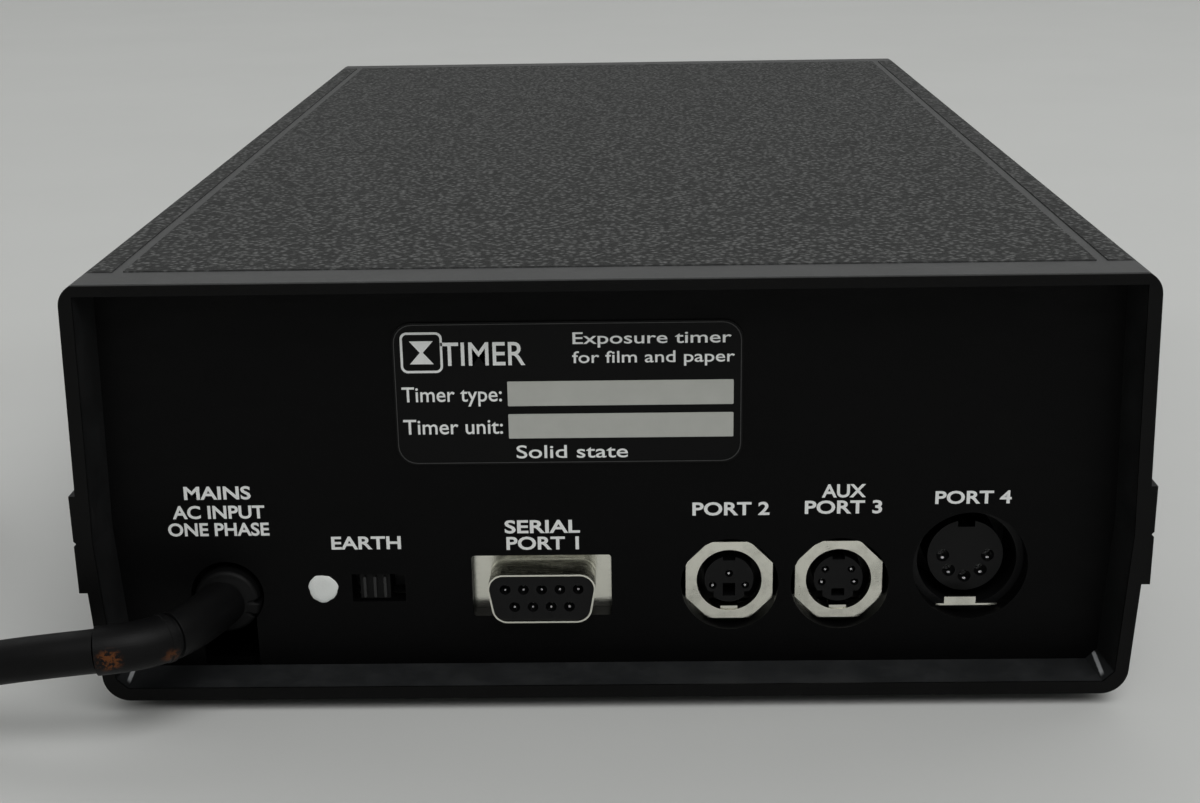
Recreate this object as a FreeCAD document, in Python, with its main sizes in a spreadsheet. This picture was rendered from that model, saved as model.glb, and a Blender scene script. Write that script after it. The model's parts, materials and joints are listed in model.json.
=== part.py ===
"""Enlarger timer: a two-shell plastic instrument case with its rear sockets, front controls and inner parts.

Frame: +Z up, the feet stand on z = 0, the front panel faces -Y, the rear panel faces +Y. Millimetres.
Every driving dimension is a cell of the "sizes" sheet, and the features read it by expression.
"""

import math
import os
import re

import FreeCAD, Part
import Sketcher
from FreeCAD import Placement, Rotation, Vector

DOC = FreeCAD.newDocument("EnlargerTimer")
SHEET = DOC.addObject("Spreadsheet::Sheet", "sizes")

# Driving dimensions. Heights are above the table, and side positions are seen from the front (+X is right).
SIZES = {
    # case
    "case_long": 256.0,
    "case_wide": 157.4,
    "top_wide": 155.6,
    "floor_wide": 154.4,
    "case_high": 65.3,
    "foot_high": 2.0,
    "foot_radius": 6.3,
    "foot_side": 61.0,
    "foot_inset": 46.0,
    "parting_high": 27.7,
    "knob_reach": 8.0,
    "wall": 2.5,
    "floor_thick": 2.35,
    "floor_corner": 1.6,
    "mouth_wall": 2.0,
    "frame_wall": 3.0,
    "groove_wall": 1.8,
    "frame_deep": 12.6,
    "recess": 7.2,
    "panel_thick": 3.0,
    "panel_gap": 0.15,
    "band_low": 19.8,
    "band_high": 35.2,
    "band_proud": 0.8,
    "top_round": 3.5,
    "floor_round": 4.0,
    "seam_bevel": 0.4,
    "relief_deep": 0.2,
    "border_wide": 7.2,
    "stripe_side": 71.0,
    "stripe_wide": 1.6,
    # screw posts
    "post_side": 68.6,
    "post_inset": 28.0,
    "post_radius": 5.0,
    "upper_post_radius": 4.4,
    "case_screw_hole": 1.7,
    "case_screw_pilot": 1.5,
    "case_screw_shank": 1.4,
    "case_screw_head": 3.1,
    "case_screw_head_high": 2.2,
    "case_screw_long": 27.0,
    "sink_radius": 3.7,
    "sink_deep": 10.0,
    # boards
    "board_top": 10.2,
    "board_thick": 1.6,
    "board_left": -63.5,
    "board_right": 50.0,
    "board_long": 80.0,
    "standoff_radius": 3.0,
    "board_screw_shank": 1.0,
    "board_screw_head": 2.4,
    # rear sockets
    "serial_x": 10.65,
    "serial_z": 16.4,
    "serial_wide": 16.33,
    "serial_high": 7.9,
    "serial_shell_thick": 0.25,
    "serial_reach": 6.1,
    "serial_round": 2.4,
    "serial_flange_wide": 30.8,
    "serial_flange_high": 12.5,
    "serial_cut_wide": 21.3,
    "serial_cut_low": 12.35,
    "serial_cut_high": 22.3,
    "serial_cut_round": 0.5,
    "serial_pitch": 2.77,
    "serial_rows": 2.84,
    "shutter_x": -17.95,
    "photo_x": -34.7,
    "mini_z": 17.2,
    "mini_hole": 7.45,
    "mini_wide": 13.3,
    "mini_high": 12.6,
    "mini_deep": 12.8,
    "mini_corner": 3.5,
    "mini_reach": 1.4,
    "mini_mouth": 5.0,
    "mini_core": 3.75,
    "remote_x": -54.4,
    "remote_z": 19.9,
    "remote_hole": 8.7,
    "remote_wide": 18.0,
    "remote_high": 18.6,
    "remote_deep": 14.0,
    "remote_mouth": 7.6,
    "remote_core": 5.8,
    "remote_pins": 3.45,
    # ground switch
    "switch_x": 35.75,
    "switch_z": 17.15,
    "slot_wide": 8.15,
    "slot_high": 4.5,
    "slider_wide": 4.6,
    "slider_high": 4.2,
    "slide_rest": 0.6,
    # mains entry
    "cord_x": 59.1,
    "cord_z": 16.05,
    "cord_radius": 3.25,
    "bush_hole": 5.6,
    "bush_slot": 8.4,
    "bush_radius": 5.4,
    "collar_long": 4.4,
    "sleeve_root": 4.1,
    "sleeve_tip": 3.6,
    # put-away coil and plug
    "coil_x": 175.0,
    "coil_y": 74.0,
    "coil_outer": 56.4,
    "coil_inner": 26.2,
    "coil_high": 13.2,
    "plug_wide": 26.0,
    "plug_high": 26.0,
    "plug_long": 25.0,
    "plug_tail": 18.0,
    "blade_long": 17.5,
    "blade_pitch": 12.7,
    "earth_drop": 11.9,
    # rating plate
    "plate_x": 6.05,
    "plate_z": 48.1,
    "plate_wide": 51.5,
    "plate_high": 22.0,
    "plate_thick": 0.3,
    "plate_round": 3.0,
    # front panel
    "window_x": -21.0,
    "window_z": 48.0,
    "window_wide": 66.0,
    "window_high": 20.0,
    "window_thick": 2.0,
    "button_z": 24.0,
    "button_pitch": 19.0,
    "button_first_x": -40.0,
    "button_radius": 5.5,
    "button_gap": 0.3,
    "button_proud": 4.0,
    "knob_x": 41.0,
    "knob_z": 37.0,
    "knob_radius": 12.5,
    "knob_skirt": 15.0,
    "knob_gap": 1.0,
    "shaft_radius": 3.0,
    "knob_cap_radius": 8.4,
    "rocker_x": -58.5,
    "rocker_z": 26.0,
    "rocker_wide": 12.6,
    "rocker_high": 19.2,
    "rocker_pivot": 2.2,
    "rocker_tilt": 10.0,
    "front_board_set": 13.0,
    "display_left": -50.0,
    "display_right": 30.0,
    "display_low": 12.5,
    "display_high": 50.8,
    # transformer
    "core_x": 22.0,
    "core_y": -18.0,
    "core_wide": 48.0,
    "core_deep": 16.0,
    "core_high": 40.0,
    "winding_wide": 31.0,
    "winding_deep": 34.0,
    "winding_high": 24.0,
}

for row, (alias, number) in enumerate(SIZES.items(), start=1):
    SHEET.set(f"A{row}", alias.replace("_", " "))
    SHEET.set(f"B{row}", str(number))
    SHEET.setAlias(f"B{row}", alias)
DOC.recompute()

# Formulas that several parts share.
REAR = "((case_long + knob_reach) / 2)"
FRONT = "((knob_reach - case_long) / 2)"
MIDDLE = "(knob_reach / 2)"
TOP = "(foot_high + case_high)"
REAR_FACE = f"({REAR} - recess)"
REAR_BACK = f"({REAR} - recess - panel_thick)"
FRONT_FACE = f"({FRONT} + recess)"
FRONT_BACK = f"({FRONT} + recess + panel_thick)"
BOARD_REAR = f"({REAR_BACK} - 0.6)"
BOARD_LOW = "(board_top - board_thick)"
FRONT_BOARD = f"({FRONT_BACK} + front_board_set)"

# Sketches on these planes look along the third axis; the sign says which way their normal points.
PLANE_SIGN = {"XY": 1, "XZ": -1, "YZ": 1}
NODES = {}


def formula(text):
    """The text as an expression, with each sheet alias in it read from the sheet."""

    def read(found):
        word = found.group()
        return f"sizes.{word}" if word in SIZES else word

    return re.sub(r"[a-z][a-z_]*", read, str(text))


def drive(thing, **texts):
    """Binds properties to formulas; "__" in a name stands for a dot."""
    for name, text in texts.items():
        thing.setExpression(name.replace("__", "."), formula(text))
    return thing


def node(name, thing):
    """Makes a document object a named sub-part."""
    thing.Label = name
    NODES[name] = thing
    return thing


# ---- sketch and body tools ---------------------------------------------------------------------------


def new_body(name):
    body = DOC.addObject("PartDesign::Body", name)
    return node(name, body)


def sketch_on(body, plane, level):
    """An empty sketch parallel to one of the body's own origin planes, at a level along that plane's axis."""
    sketch = body.newObject("Sketcher::SketchObject", "Outline")
    origin_plane = next(o for o in body.Origin.OriginFeatures if o.Role == f"{plane}_Plane")
    sketch.AttachmentSupport = [(origin_plane, "")]
    sketch.MapMode = "FlatFace"
    sign = "" if PLANE_SIGN[plane] > 0 else "-"
    drive(sketch, AttachmentOffset__Base__z=f"{sign}({level})")
    return sketch


def pin_point(sketch, geometry, point, x, y, now):
    """Fixes one sketch point at a pair of formulas."""
    across = sketch.addConstraint(Sketcher.Constraint("DistanceX", geometry, point, now.x))
    up = sketch.addConstraint(Sketcher.Constraint("DistanceY", geometry, point, now.y))
    sketch.setExpression(f"Constraints[{across}]", formula(x))
    sketch.setExpression(f"Constraints[{up}]", formula(y))


def draw_corners(sketch, corners):
    """A closed outline of straight lines through pairs of formulas."""
    count = len(corners)
    turns = [2 * math.pi * i / count for i in range(count)]
    spots = [Vector(10 * math.cos(a), 10 * math.sin(a), 0) for a in turns]
    first = sketch.GeometryCount
    for i in range(count):
        sketch.addGeometry(Part.LineSegment(spots[i], spots[(i + 1) % count]), False)
    for i in range(count):
        following = first + (i + 1) % count
        sketch.addConstraint(Sketcher.Constraint("Coincident", first + i, 2, following, 1))
    for i, (x, y) in enumerate(corners):
        pin_point(sketch, first + i, 1, x, y, spots[i])


def draw_circle(sketch, x, y, radius):
    """A circle whose centre and radius are formulas."""
    circle = sketch.addGeometry(Part.Circle(Vector(1, 1, 0), Vector(0, 0, 1), 1.0), False)
    pin_point(sketch, circle, 3, x, y, Vector(1, 1, 0))
    size = sketch.addConstraint(Sketcher.Constraint("Radius", circle, 1.0))
    sketch.setExpression(f"Constraints[{size}]", formula(radius))


def rectangle(x, y, wide, high):
    """The corners of a rectangle about a centre."""
    left, right = f"{x} - ({wide}) / 2", f"{x} + ({wide}) / 2"
    low, top = f"{y} - ({high}) / 2", f"{y} + ({high}) / 2"
    return [(left, low), (right, low), (right, top), (left, top)]


def draw(sketch, shapes):
    """Each shape is a list of corners, or a tuple (x, y, radius) for a circle."""
    for shape in shapes:
        if isinstance(shape, tuple):
            draw_circle(sketch, *shape)
        else:
            draw_corners(sketch, shape)


def extrude(body, kind, plane, shapes, start, length):
    """A Pad or Pocket of the shapes, from start to start + length along the plane's own axis."""
    sketch = sketch_on(body, plane, start)
    draw(sketch, shapes)
    feature = body.newObject(f"PartDesign::{kind}", kind)
    feature.Profile = sketch
    backwards = PLANE_SIGN[plane] < 0
    feature.Reversed = backwards if kind == "Pad" else not backwards
    drive(feature, Length=length)
    body.Tip = feature
    return feature


def pad(body, plane, shapes, start, length):
    return extrude(body, "Pad", plane, shapes, start, length)


def pocket(body, plane, shapes, start, length):
    """A cut that must take material away."""
    DOC.recompute()
    before = body.Shape.Volume
    feature = extrude(body, "Pocket", plane, shapes, start, length)
    DOC.recompute()
    if body.Shape.Volume > before - 1e-6:
        raise RuntimeError(f"a pocket of {body.Label} cuts nothing")
    return feature


def turn(body, corners, x="0", z="0"):
    """A Revolution of an outline of (radius, y) pairs about the body's Y axis, placed at x and z."""
    sketch = sketch_on(body, "XY", "0")
    draw_corners(sketch, corners)
    feature = body.newObject("PartDesign::Revolution", "Revolution")
    feature.Profile = sketch
    feature.ReferenceAxis = (sketch, ["V_Axis"])
    feature.Angle = 360
    body.Tip = feature
    drive(body, Placement__Base__x=x, Placement__Base__z=z)
    return feature


def dress(body, kind, size, chosen):
    """A Fillet or Chamfer on the tip's edges that chosen() picks."""
    DOC.recompute()
    base = body.Tip
    names = [f"Edge{i}" for i, edge in enumerate(base.Shape.Edges, start=1) if chosen(edge)]
    if not names:
        raise RuntimeError(f"no edge of {body.Label} to {kind}")
    feature = body.newObject(f"PartDesign::{kind}", kind)
    feature.Base = (base, names)
    drive(feature, **{"Radius" if kind == "Fillet" else "Size": size})
    body.Tip = feature
    DOC.recompute()
    return feature


def number(alias):
    """A driving dimension's value in the sheet."""
    return float(SHEET.get(alias))


# Plain numbers that several parts share.
FRONT_FACE_Y = (number("knob_reach") - number("case_long")) / 2 + number("recess")
TERMINAL_X = (30.9, 37.5, 44.1)


def runs_along(edge, axis):
    """True if the edge is straight and parallel to an axis vector."""
    if edge.Curve.TypeId != "Part::GeomLine":
        return False
    return abs(abs(edge.tangentAt(edge.FirstParameter).dot(axis)) - 1) < 1e-6


def flat_at(edge, axis, level):
    """True if the whole edge lies at one level along an axis vector."""
    return all(abs(vertex.Point.dot(axis) - level) < 1e-3 for vertex in edge.Vertexes)


X, Y, Z = Vector(1, 0, 0), Vector(0, 1, 0), Vector(0, 0, 1)

# ---- primitives and booleans -------------------------------------------------------------------------

AXIS_TURN = {
    "x": Rotation(Y, 90),
    "y": Rotation(X, -90),
    "z": Rotation(),
}


def place(thing, x, y, z, rotation=None):
    if rotation is not None:
        thing.Placement = Placement(Vector(), rotation)
    drive(thing, Placement__Base__x=x, Placement__Base__y=y, Placement__Base__z=z)
    return thing


def block(x, y, z, wide, deep, high):
    """A box whose low corner is x, y, z."""
    box = DOC.addObject("Part::Box", "Block")
    drive(box, Length=wide, Width=deep, Height=high)
    return place(box, x, y, z)


def centred_block(x, y, z, wide, deep, high):
    """A box centred in x and z, from y towards +Y."""
    return block(f"({x}) - ({wide}) / 2", y, f"({z}) - ({high}) / 2", wide, deep, high)


def rod(axis, x, y, z, radius, length):
    """A cylinder from x, y, z towards + along an axis."""
    cylinder = DOC.addObject("Part::Cylinder", "Rod")
    drive(cylinder, Radius=radius, Height=length)
    return place(cylinder, x, y, z, AXIS_TURN[axis])


def cone(axis, x, y, z, first, last, length):
    """A frustum from x, y, z towards + along an axis."""
    frustum = DOC.addObject("Part::Cone", "Cone")
    drive(frustum, Radius1=first, Radius2=last, Height=length)
    return place(frustum, x, y, z, AXIS_TURN[axis])


def join(*things):
    if len(things) == 1:
        return things[0]
    fusion = DOC.addObject("Part::MultiFuse", "Join")
    fusion.Shapes = list(things)
    fusion.Refine = True
    return fusion


def less(base, *tools):
    cut = DOC.addObject("Part::Cut", "Less")
    cut.Base = base
    cut.Tool = join(*tools)
    return cut


def group(*things):
    """Several separate solids as one sub-part."""
    compound = DOC.addObject("Part::Compound", "Group")
    compound.Links = list(things)
    return compound


def rounded(base, radius, chosen):
    """A Part fillet on the edges that chosen() picks."""
    DOC.recompute()
    fillet = DOC.addObject("Part::Fillet", "Rounded")
    fillet.Base = base
    edges = enumerate(base.Shape.Edges, start=1)
    fillet.Edges = [(i, radius, radius) for i, edge in edges if chosen(edge)]
    return fillet


# ---- case shells -------------------------------------------------------------------------------------


def upper_side(z, inset="0"):
    """Half the upper shell's width at a height."""
    slope = f"(case_wide - top_wide) / 2 / ({TOP} - parting_high)"
    return f"(case_wide / 2 - ({slope}) * (({z}) - parting_high) - ({inset}))"


def lower_side(z, inset="0"):
    """Half the lower shell's width at a height."""
    slope = "(case_wide - floor_wide) / 2 / (parting_high - foot_high)"
    return f"(case_wide / 2 - ({slope}) * (parting_high - ({z})) - ({inset}))"


def mirrored(half):
    """A closed outline from its right half, which is listed from the bottom up."""
    return half + [(f"-({x})", z) for x, z in reversed(half)]


def upper_hollow(inset):
    """The inside of the upper shell at a wall thickness, open below the seam."""
    ceiling = f"{TOP} - ({inset})"
    low = "parting_high - 1"
    return mirrored([(upper_side(low, inset), low), (upper_side(ceiling, inset), ceiling)])


def lower_hollow(inset):
    """The inside of the lower shell at a wall thickness, open above the seam, with a thinner floor."""
    floor = f"foot_high + min({inset}; floor_thick)"
    corner = f"{floor} + floor_corner"
    high = "parting_high + 1"
    half = [
        (f"{lower_side(floor, inset)} - floor_corner", floor),
        (lower_side(corner, inset), corner),
        (lower_side(high, inset), high),
    ]
    return mirrored(half)


def hollow_out(body, hollow):
    """Cuts the shell's inside: panel frames at both ends, the thinner hall between, and the grooves."""
    whole = [hollow("frame_wall")]
    pocket(body, "XZ", whole, f"{FRONT} - 1", "case_long + 2")
    hall = f"{FRONT} + frame_deep"
    pocket(body, "XZ", [hollow("wall")], hall, "case_long - 2 * frame_deep")
    for face in (f"{REAR_BACK} - 0.05", f"{FRONT_FACE} - 0.05"):
        pocket(body, "XZ", [hollow("groove_wall")], face, "panel_thick + 0.1")


def mouth_cutter(hollow):
    """Lofted wedges that flare both mouths of a shell from the panel out to the rim."""
    cutters = []
    for rim, inner in ((REAR, REAR_FACE), (FRONT, FRONT_FACE)):
        cutter = DOC.addObject("PartDesign::Body", "MouthCutter")
        outer = sketch_on(cutter, "XZ", rim)
        draw_corners(outer, hollow("mouth_wall"))
        deep = sketch_on(cutter, "XZ", inner)
        draw_corners(deep, hollow("frame_wall"))
        loft = cutter.newObject("PartDesign::AdditiveLoft", "Flare")
        loft.Profile = outer
        loft.Sections = [deep]
        loft.Ruled = True
        cutters.append(cutter)
    return cutters


def flare(body, hollow):
    """Takes the mouth wedges out of a shell body."""
    feature = body.newObject("PartDesign::Boolean", "Flare")
    feature.Type = "Cut"
    feature.setObjects(mouth_cutter(hollow))
    body.Tip = feature
    DOC.recompute()


def rear_and_front(inset):
    """The y formulas of something set in by the same distance from both rims."""
    return (f"{REAR} - ({inset})", f"{FRONT} + ({inset})")


def corner_spots(side, inset):
    """The four (x, y) formula pairs near the case's corners."""
    return [(f"{sign}{side}", y) for sign in ("", "-") for y in rear_and_front(inset)]


def case_top():
    body = new_body("case_top")
    band = "case_wide / 2 + band_proud"
    half = [
        (band, "parting_high"),
        (band, "band_high"),
        (upper_side("band_high"), "band_high"),
        (upper_side(TOP), TOP),
    ]
    pad(body, "XZ", [mirrored(half)], FRONT, "case_long")
    top = number("foot_high") + number("case_high")
    dress(body, "Fillet", "top_round", lambda e: runs_along(e, Y) and flat_at(e, Z, top))
    dress(body, "Chamfer", "seam_bevel", lambda e: runs_along(e, Y) and flat_at(e, Z, number("parting_high")))
    hollow_out(body, upper_hollow)
    flare(body, upper_hollow)
    # smooth border strips and side stripes, set a little below the grained fields
    strips = [rectangle("0", f"{end}", "case_wide + 4", "2 * border_wide") for end in (REAR, FRONT)]
    pocket(body, "XY", strips, f"{TOP} - relief_deep", "1")
    for side in ("stripe_side", "-stripe_side"):
        stripe = rectangle(side, MIDDLE, "stripe_wide", "case_long - 2 * border_wide + 0.2")
        pocket(body, "XY", [stripe], f"{TOP} - relief_deep", "1")
    posts = [(x, y, "upper_post_radius") for x, y in corner_spots("post_side", "post_inset")]
    pad(body, "XY", posts, "parting_high + 0.3", f"{TOP} - wall - parting_high")
    pilots = [(x, y, "case_screw_pilot") for x, y in corner_spots("post_side", "post_inset")]
    pocket(body, "XY", pilots, "parting_high", "16")
    return body


def case_bottom():
    body = new_body("case_bottom")
    band = "case_wide / 2 + band_proud"
    half = [
        (lower_side("foot_high"), "foot_high"),
        (lower_side("band_low"), "band_low"),
        (band, "band_low"),
        (band, "parting_high"),
    ]
    pad(body, "XZ", [mirrored(half)], FRONT, "case_long")
    low = number("foot_high")
    dress(body, "Fillet", "floor_round", lambda e: runs_along(e, Y) and flat_at(e, Z, low))
    dress(body, "Chamfer", "seam_bevel", lambda e: runs_along(e, Y) and flat_at(e, Z, number("parting_high")))
    hollow_out(body, lower_hollow)
    flare(body, lower_hollow)
    spots = corner_spots("post_side", "post_inset")
    posts = [(x, y, "post_radius") for x, y in spots]
    pad(body, "XY", posts, "foot_high + 1", "parting_high - foot_high - 1.2")
    standoffs = [(x, y, "standoff_radius") for x, y in board_screw_spots()]
    pad(body, "XY", standoffs, "foot_high + 1", f"{BOARD_LOW} - foot_high - 1")
    feet = [rectangle(x, y, "6", "8") for x, y in transformer_screw_spots()]
    pad(body, "XY", feet, "foot_high + 1", "wall + 1")
    pocket(body, "XY", [(x, y, "sink_radius") for x, y in spots], "foot_high - 1", "sink_deep + 1")
    pocket(body, "XY", [(x, y, "case_screw_hole") for x, y in spots], "foot_high", "parting_high")
    holes = [(x, y, "board_screw_shank + 0.05") for x, y in board_screw_spots()]
    pocket(body, "XY", holes, "foot_high + 2", "board_top")
    core_holes = [(x, y, "1.55") for x, y in transformer_screw_spots()]
    pocket(body, "XY", core_holes, "foot_high - 1", "wall + 4")
    return body


def cross_screw(x, y, low, head, head_high, shank, long):
    """A round-headed screw pointing up, its cross slot in the underside."""
    cap = cone("z", x, y, low, f"{head} * 0.8", head, f"{head_high} * 0.4")
    rim = rod("z", x, y, f"{low} + {head_high} * 0.4", head, f"{head_high} * 0.6")
    stem = rod("z", x, y, f"{low} + {head_high}", shank, long)
    slots = cross_slots(x, y, f"{low} - 0.1", head)
    return less(join(cap, rim, stem), *slots)


def cross_slots(x, y, low, head):
    """The two crossed bars of a driver slot, 1 mm deep, about a screw's axis."""
    long, short = f"({head}) * 1.1", "0.7"
    one = block(f"{x} - {long} / 2", f"{y} - {short} / 2", low, long, short, "1.1")
    two = block(f"{x} - {short} / 2", f"{y} - {long} / 2", low, short, long, "1.1")
    return one, two


def case_fasteners():
    head_low = "foot_high + sink_deep - case_screw_head_high"
    sizes = ("case_screw_head", "case_screw_head_high", "case_screw_shank", "case_screw_long")
    spots = corner_spots("post_side", "post_inset")
    node("case_screws", group(*[cross_screw(x, y, head_low, *sizes) for x, y in spots]))


def feet():
    spots = corner_spots("foot_side", "foot_inset")
    pads = [cone("z", x, y, "0", "foot_radius - 0.7", "foot_radius", "foot_high") for x, y in spots]
    node("rubber_feet", group(*pads))


# ---- panels ------------------------------------------------------------------------------------------


def panel_outline():
    """A sheet that slides in both shells' grooves."""
    inset = "(groove_wall + panel_gap)"
    floor, ceiling = f"foot_high + {inset}", f"{TOP} - {inset}"
    half = [
        (f"{lower_side(floor, inset)} - 2.5", floor),
        (lower_side(floor, inset), f"{floor} + 2.5"),
        (lower_side("parting_high", inset), "parting_high"),
        (upper_side(ceiling, inset), f"{ceiling} - 1.5"),
        (f"{upper_side(ceiling, inset)} - 1.5", ceiling),
    ]
    return mirrored(half)


def rear_panel():
    body = new_body("rear_panel")
    pad(body, "XZ", [panel_outline()], REAR_BACK, "panel_thick")
    start, deep = f"{REAR_BACK} - 1", "panel_thick + 2"
    cut_x, cut_mid = "serial_x + 0.1", "(serial_cut_low + serial_cut_high) / 2"
    sockets = [
        rectangle(cut_x, cut_mid, "serial_cut_wide", "serial_cut_high - serial_cut_low"),
        rectangle("switch_x", "switch_z", "slot_wide", "slot_high"),
        ("shutter_x", "mini_z", "mini_hole"),
        ("photo_x", "mini_z", "mini_hole"),
        ("remote_x", "remote_z", "remote_hole"),
    ]
    pocket(body, "XZ", sockets, start, deep)
    # the mains bush closes a round hole, and a narrower slot below it lets the cord drop in
    pocket(body, "XZ", [("cord_x", "cord_z", "bush_hole")], start, deep)
    pocket(body, "XZ", [rectangle("cord_x", "cord_z / 2", "bush_slot", "cord_z")], start, deep)
    half_cut = (number("serial_cut_wide") / 2, (number("serial_cut_high") - number("serial_cut_low")) / 2)
    middle = (number("serial_x") + 0.1, (number("serial_cut_high") + number("serial_cut_low")) / 2)

    def serial_corner(edge):
        point = edge.Vertexes[0].Point
        near_x = abs(abs(point.x - middle[0]) - half_cut[0]) < 1e-3
        return runs_along(edge, Y) and near_x and abs(abs(point.z - middle[1]) - half_cut[1]) < 1e-3

    dress(body, "Fillet", "serial_cut_round", serial_corner)
    return body


def button_spots():
    return [(f"button_first_x + {i} * button_pitch", "button_z") for i in range(3)]


def display_screw_spots():
    """The four pillars that carry the display board."""
    sides = ("display_left + 3.5", "display_right - 3.5")
    return [(x, z) for x in sides for z in ("display_low + 3.5", "60.3")]


def front_panel():
    body = new_body("front_panel")
    pad(body, "XZ", [panel_outline()], FRONT_FACE, "panel_thick")
    pillars = [(x, z, "2.6") for x, z in display_screw_spots()]
    pad(body, "XZ", pillars, f"{FRONT_BACK} - 1", "front_board_set + 1")
    start, deep = f"{FRONT_FACE} - 1", "panel_thick + 2"
    openings = [
        rectangle("window_x", "window_z", "window_wide - 4", "window_high - 4"),
        rectangle("rocker_x", "rocker_z", "rocker_wide", "rocker_high"),
        ("knob_x", "knob_z", "shaft_radius + 0.7"),
    ]
    openings += [(x, z, "button_radius + button_gap") for x, z in button_spots()]
    pocket(body, "XZ", openings, start, deep)
    seat = rectangle("window_x", "window_z", "window_wide + 0.2", "window_high + 0.2")
    pocket(body, "XZ", [seat], start, "1 + window_thick - 0.4")
    bores = [(x, z, "board_screw_shank + 0.05") for x, z in display_screw_spots()]
    pocket(body, "XZ", bores, f"{FRONT_BOARD} - 7", "8")
    return body


def rating_plate():
    body = new_body("rating_plate")
    outline = rectangle("plate_x", "plate_z", "plate_wide", "plate_high")
    pad(body, "XZ", [outline], REAR_FACE, "plate_thick")
    dress(body, "Fillet", "plate_round", lambda e: runs_along(e, Y))
    return body


# ---- rear sockets ------------------------------------------------------------------------------------


def serial_outline(inset):
    """The D-shaped outline of the nine-way socket, wide side up; rounded, it is serial_wide across."""
    top = f"serial_wide / 2 + 0.1917 * serial_round - {inset}"
    low = f"serial_wide / 2 + 0.1917 * serial_round - 0.1763 * serial_high - {inset}"
    high, floor = f"serial_z + serial_high / 2 - {inset}", f"serial_z - serial_high / 2 + {inset}"
    return [
        (f"serial_x - ({low})", floor),
        (f"serial_x + {low}", floor),
        (f"serial_x + {top}", high),
        (f"serial_x - ({top})", high),
    ]


def serial_holes():
    """The nine contact places: five above, four below."""
    upper = [(f"serial_x + {i - 2} * serial_pitch", "serial_z + serial_rows / 2") for i in range(5)]
    lower = [(f"serial_x + {i - 1.5} * serial_pitch", "serial_z - serial_rows / 2") for i in range(4)]
    return upper + lower


def serial_socket():
    flange_y = f"{REAR_BACK} - 0.55"
    shell = new_body("serial_shell")
    pad(shell, "XZ", [serial_outline("0")], flange_y, "serial_reach + 0.5")
    dress(shell, "Fillet", "serial_round", lambda e: runs_along(e, Y))
    flange = rectangle("serial_x", "serial_z", "serial_flange_wide", "serial_flange_high")
    pad(shell, "XZ", [flange], flange_y, "0.5")
    mounts = [(f"serial_x + {side} * 12.5", "serial_z", "1.55") for side in (-1, 1)]
    pocket(shell, "XZ", mounts, f"{flange_y} - 1", "3")
    bore = new_body("serial_bore")
    NODES.pop("serial_bore")
    pad(bore, "XZ", [serial_outline("serial_shell_thick")], f"{flange_y} - 1", "serial_reach + 3")
    dress(bore, "Fillet", "serial_round - serial_shell_thick", lambda e: runs_along(e, Y))
    hollow = shell.newObject("PartDesign::Boolean", "Hollow")
    hollow.Type = "Cut"
    hollow.setObjects([bore])
    shell.Tip = hollow

    insert = new_body("serial_insert")
    pad(insert, "XZ", [serial_outline("0.3")], f"{flange_y} - 0.05", "serial_reach + 0.25")
    dress(insert, "Fillet", "serial_round - 0.3", lambda e: runs_along(e, Y))
    rear_block = rectangle("serial_x", "serial_z - 0.4", "18", "9.6")
    pad(insert, "XZ", [rear_block], f"{flange_y} - 8", "7.95")
    holes = [(x, z, "0.82") for x, z in serial_holes()]
    pocket(insert, "XZ", holes, f"{flange_y} - 4", "12")

    contacts = []
    for i, (x, z) in enumerate(serial_holes()):
        sleeve = rod("y", x, f"{flange_y} - 3.9", z, "0.72", "serial_reach + 1.2")
        bore_hole = rod("y", x, f"{flange_y} + 1", z, "0.5", "serial_reach")
        contacts.append(less(sleeve, bore_hole))
        leg_y = f"{flange_y} - {10.4 if i < 5 else 9.2}"
        contacts.append(bent_leg(x, leg_y, f"{flange_y} - 8.02", z, "0.5"))
    node("serial_contacts", group(*contacts))


def bent_leg(x, leg_y, root_y, z, thick):
    """A square wire that leaves a block backwards at a height, then turns down through the board."""
    along = block(f"{x} - {thick} / 2", leg_y, f"{z} - {thick} / 2", thick, f"{root_y} - ({leg_y})", thick)
    down = block(f"{x} - {thick} / 2", leg_y, "board_top - 1.2", thick, thick, f"{z} - board_top + 1.2")
    return join(along, down)


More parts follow.
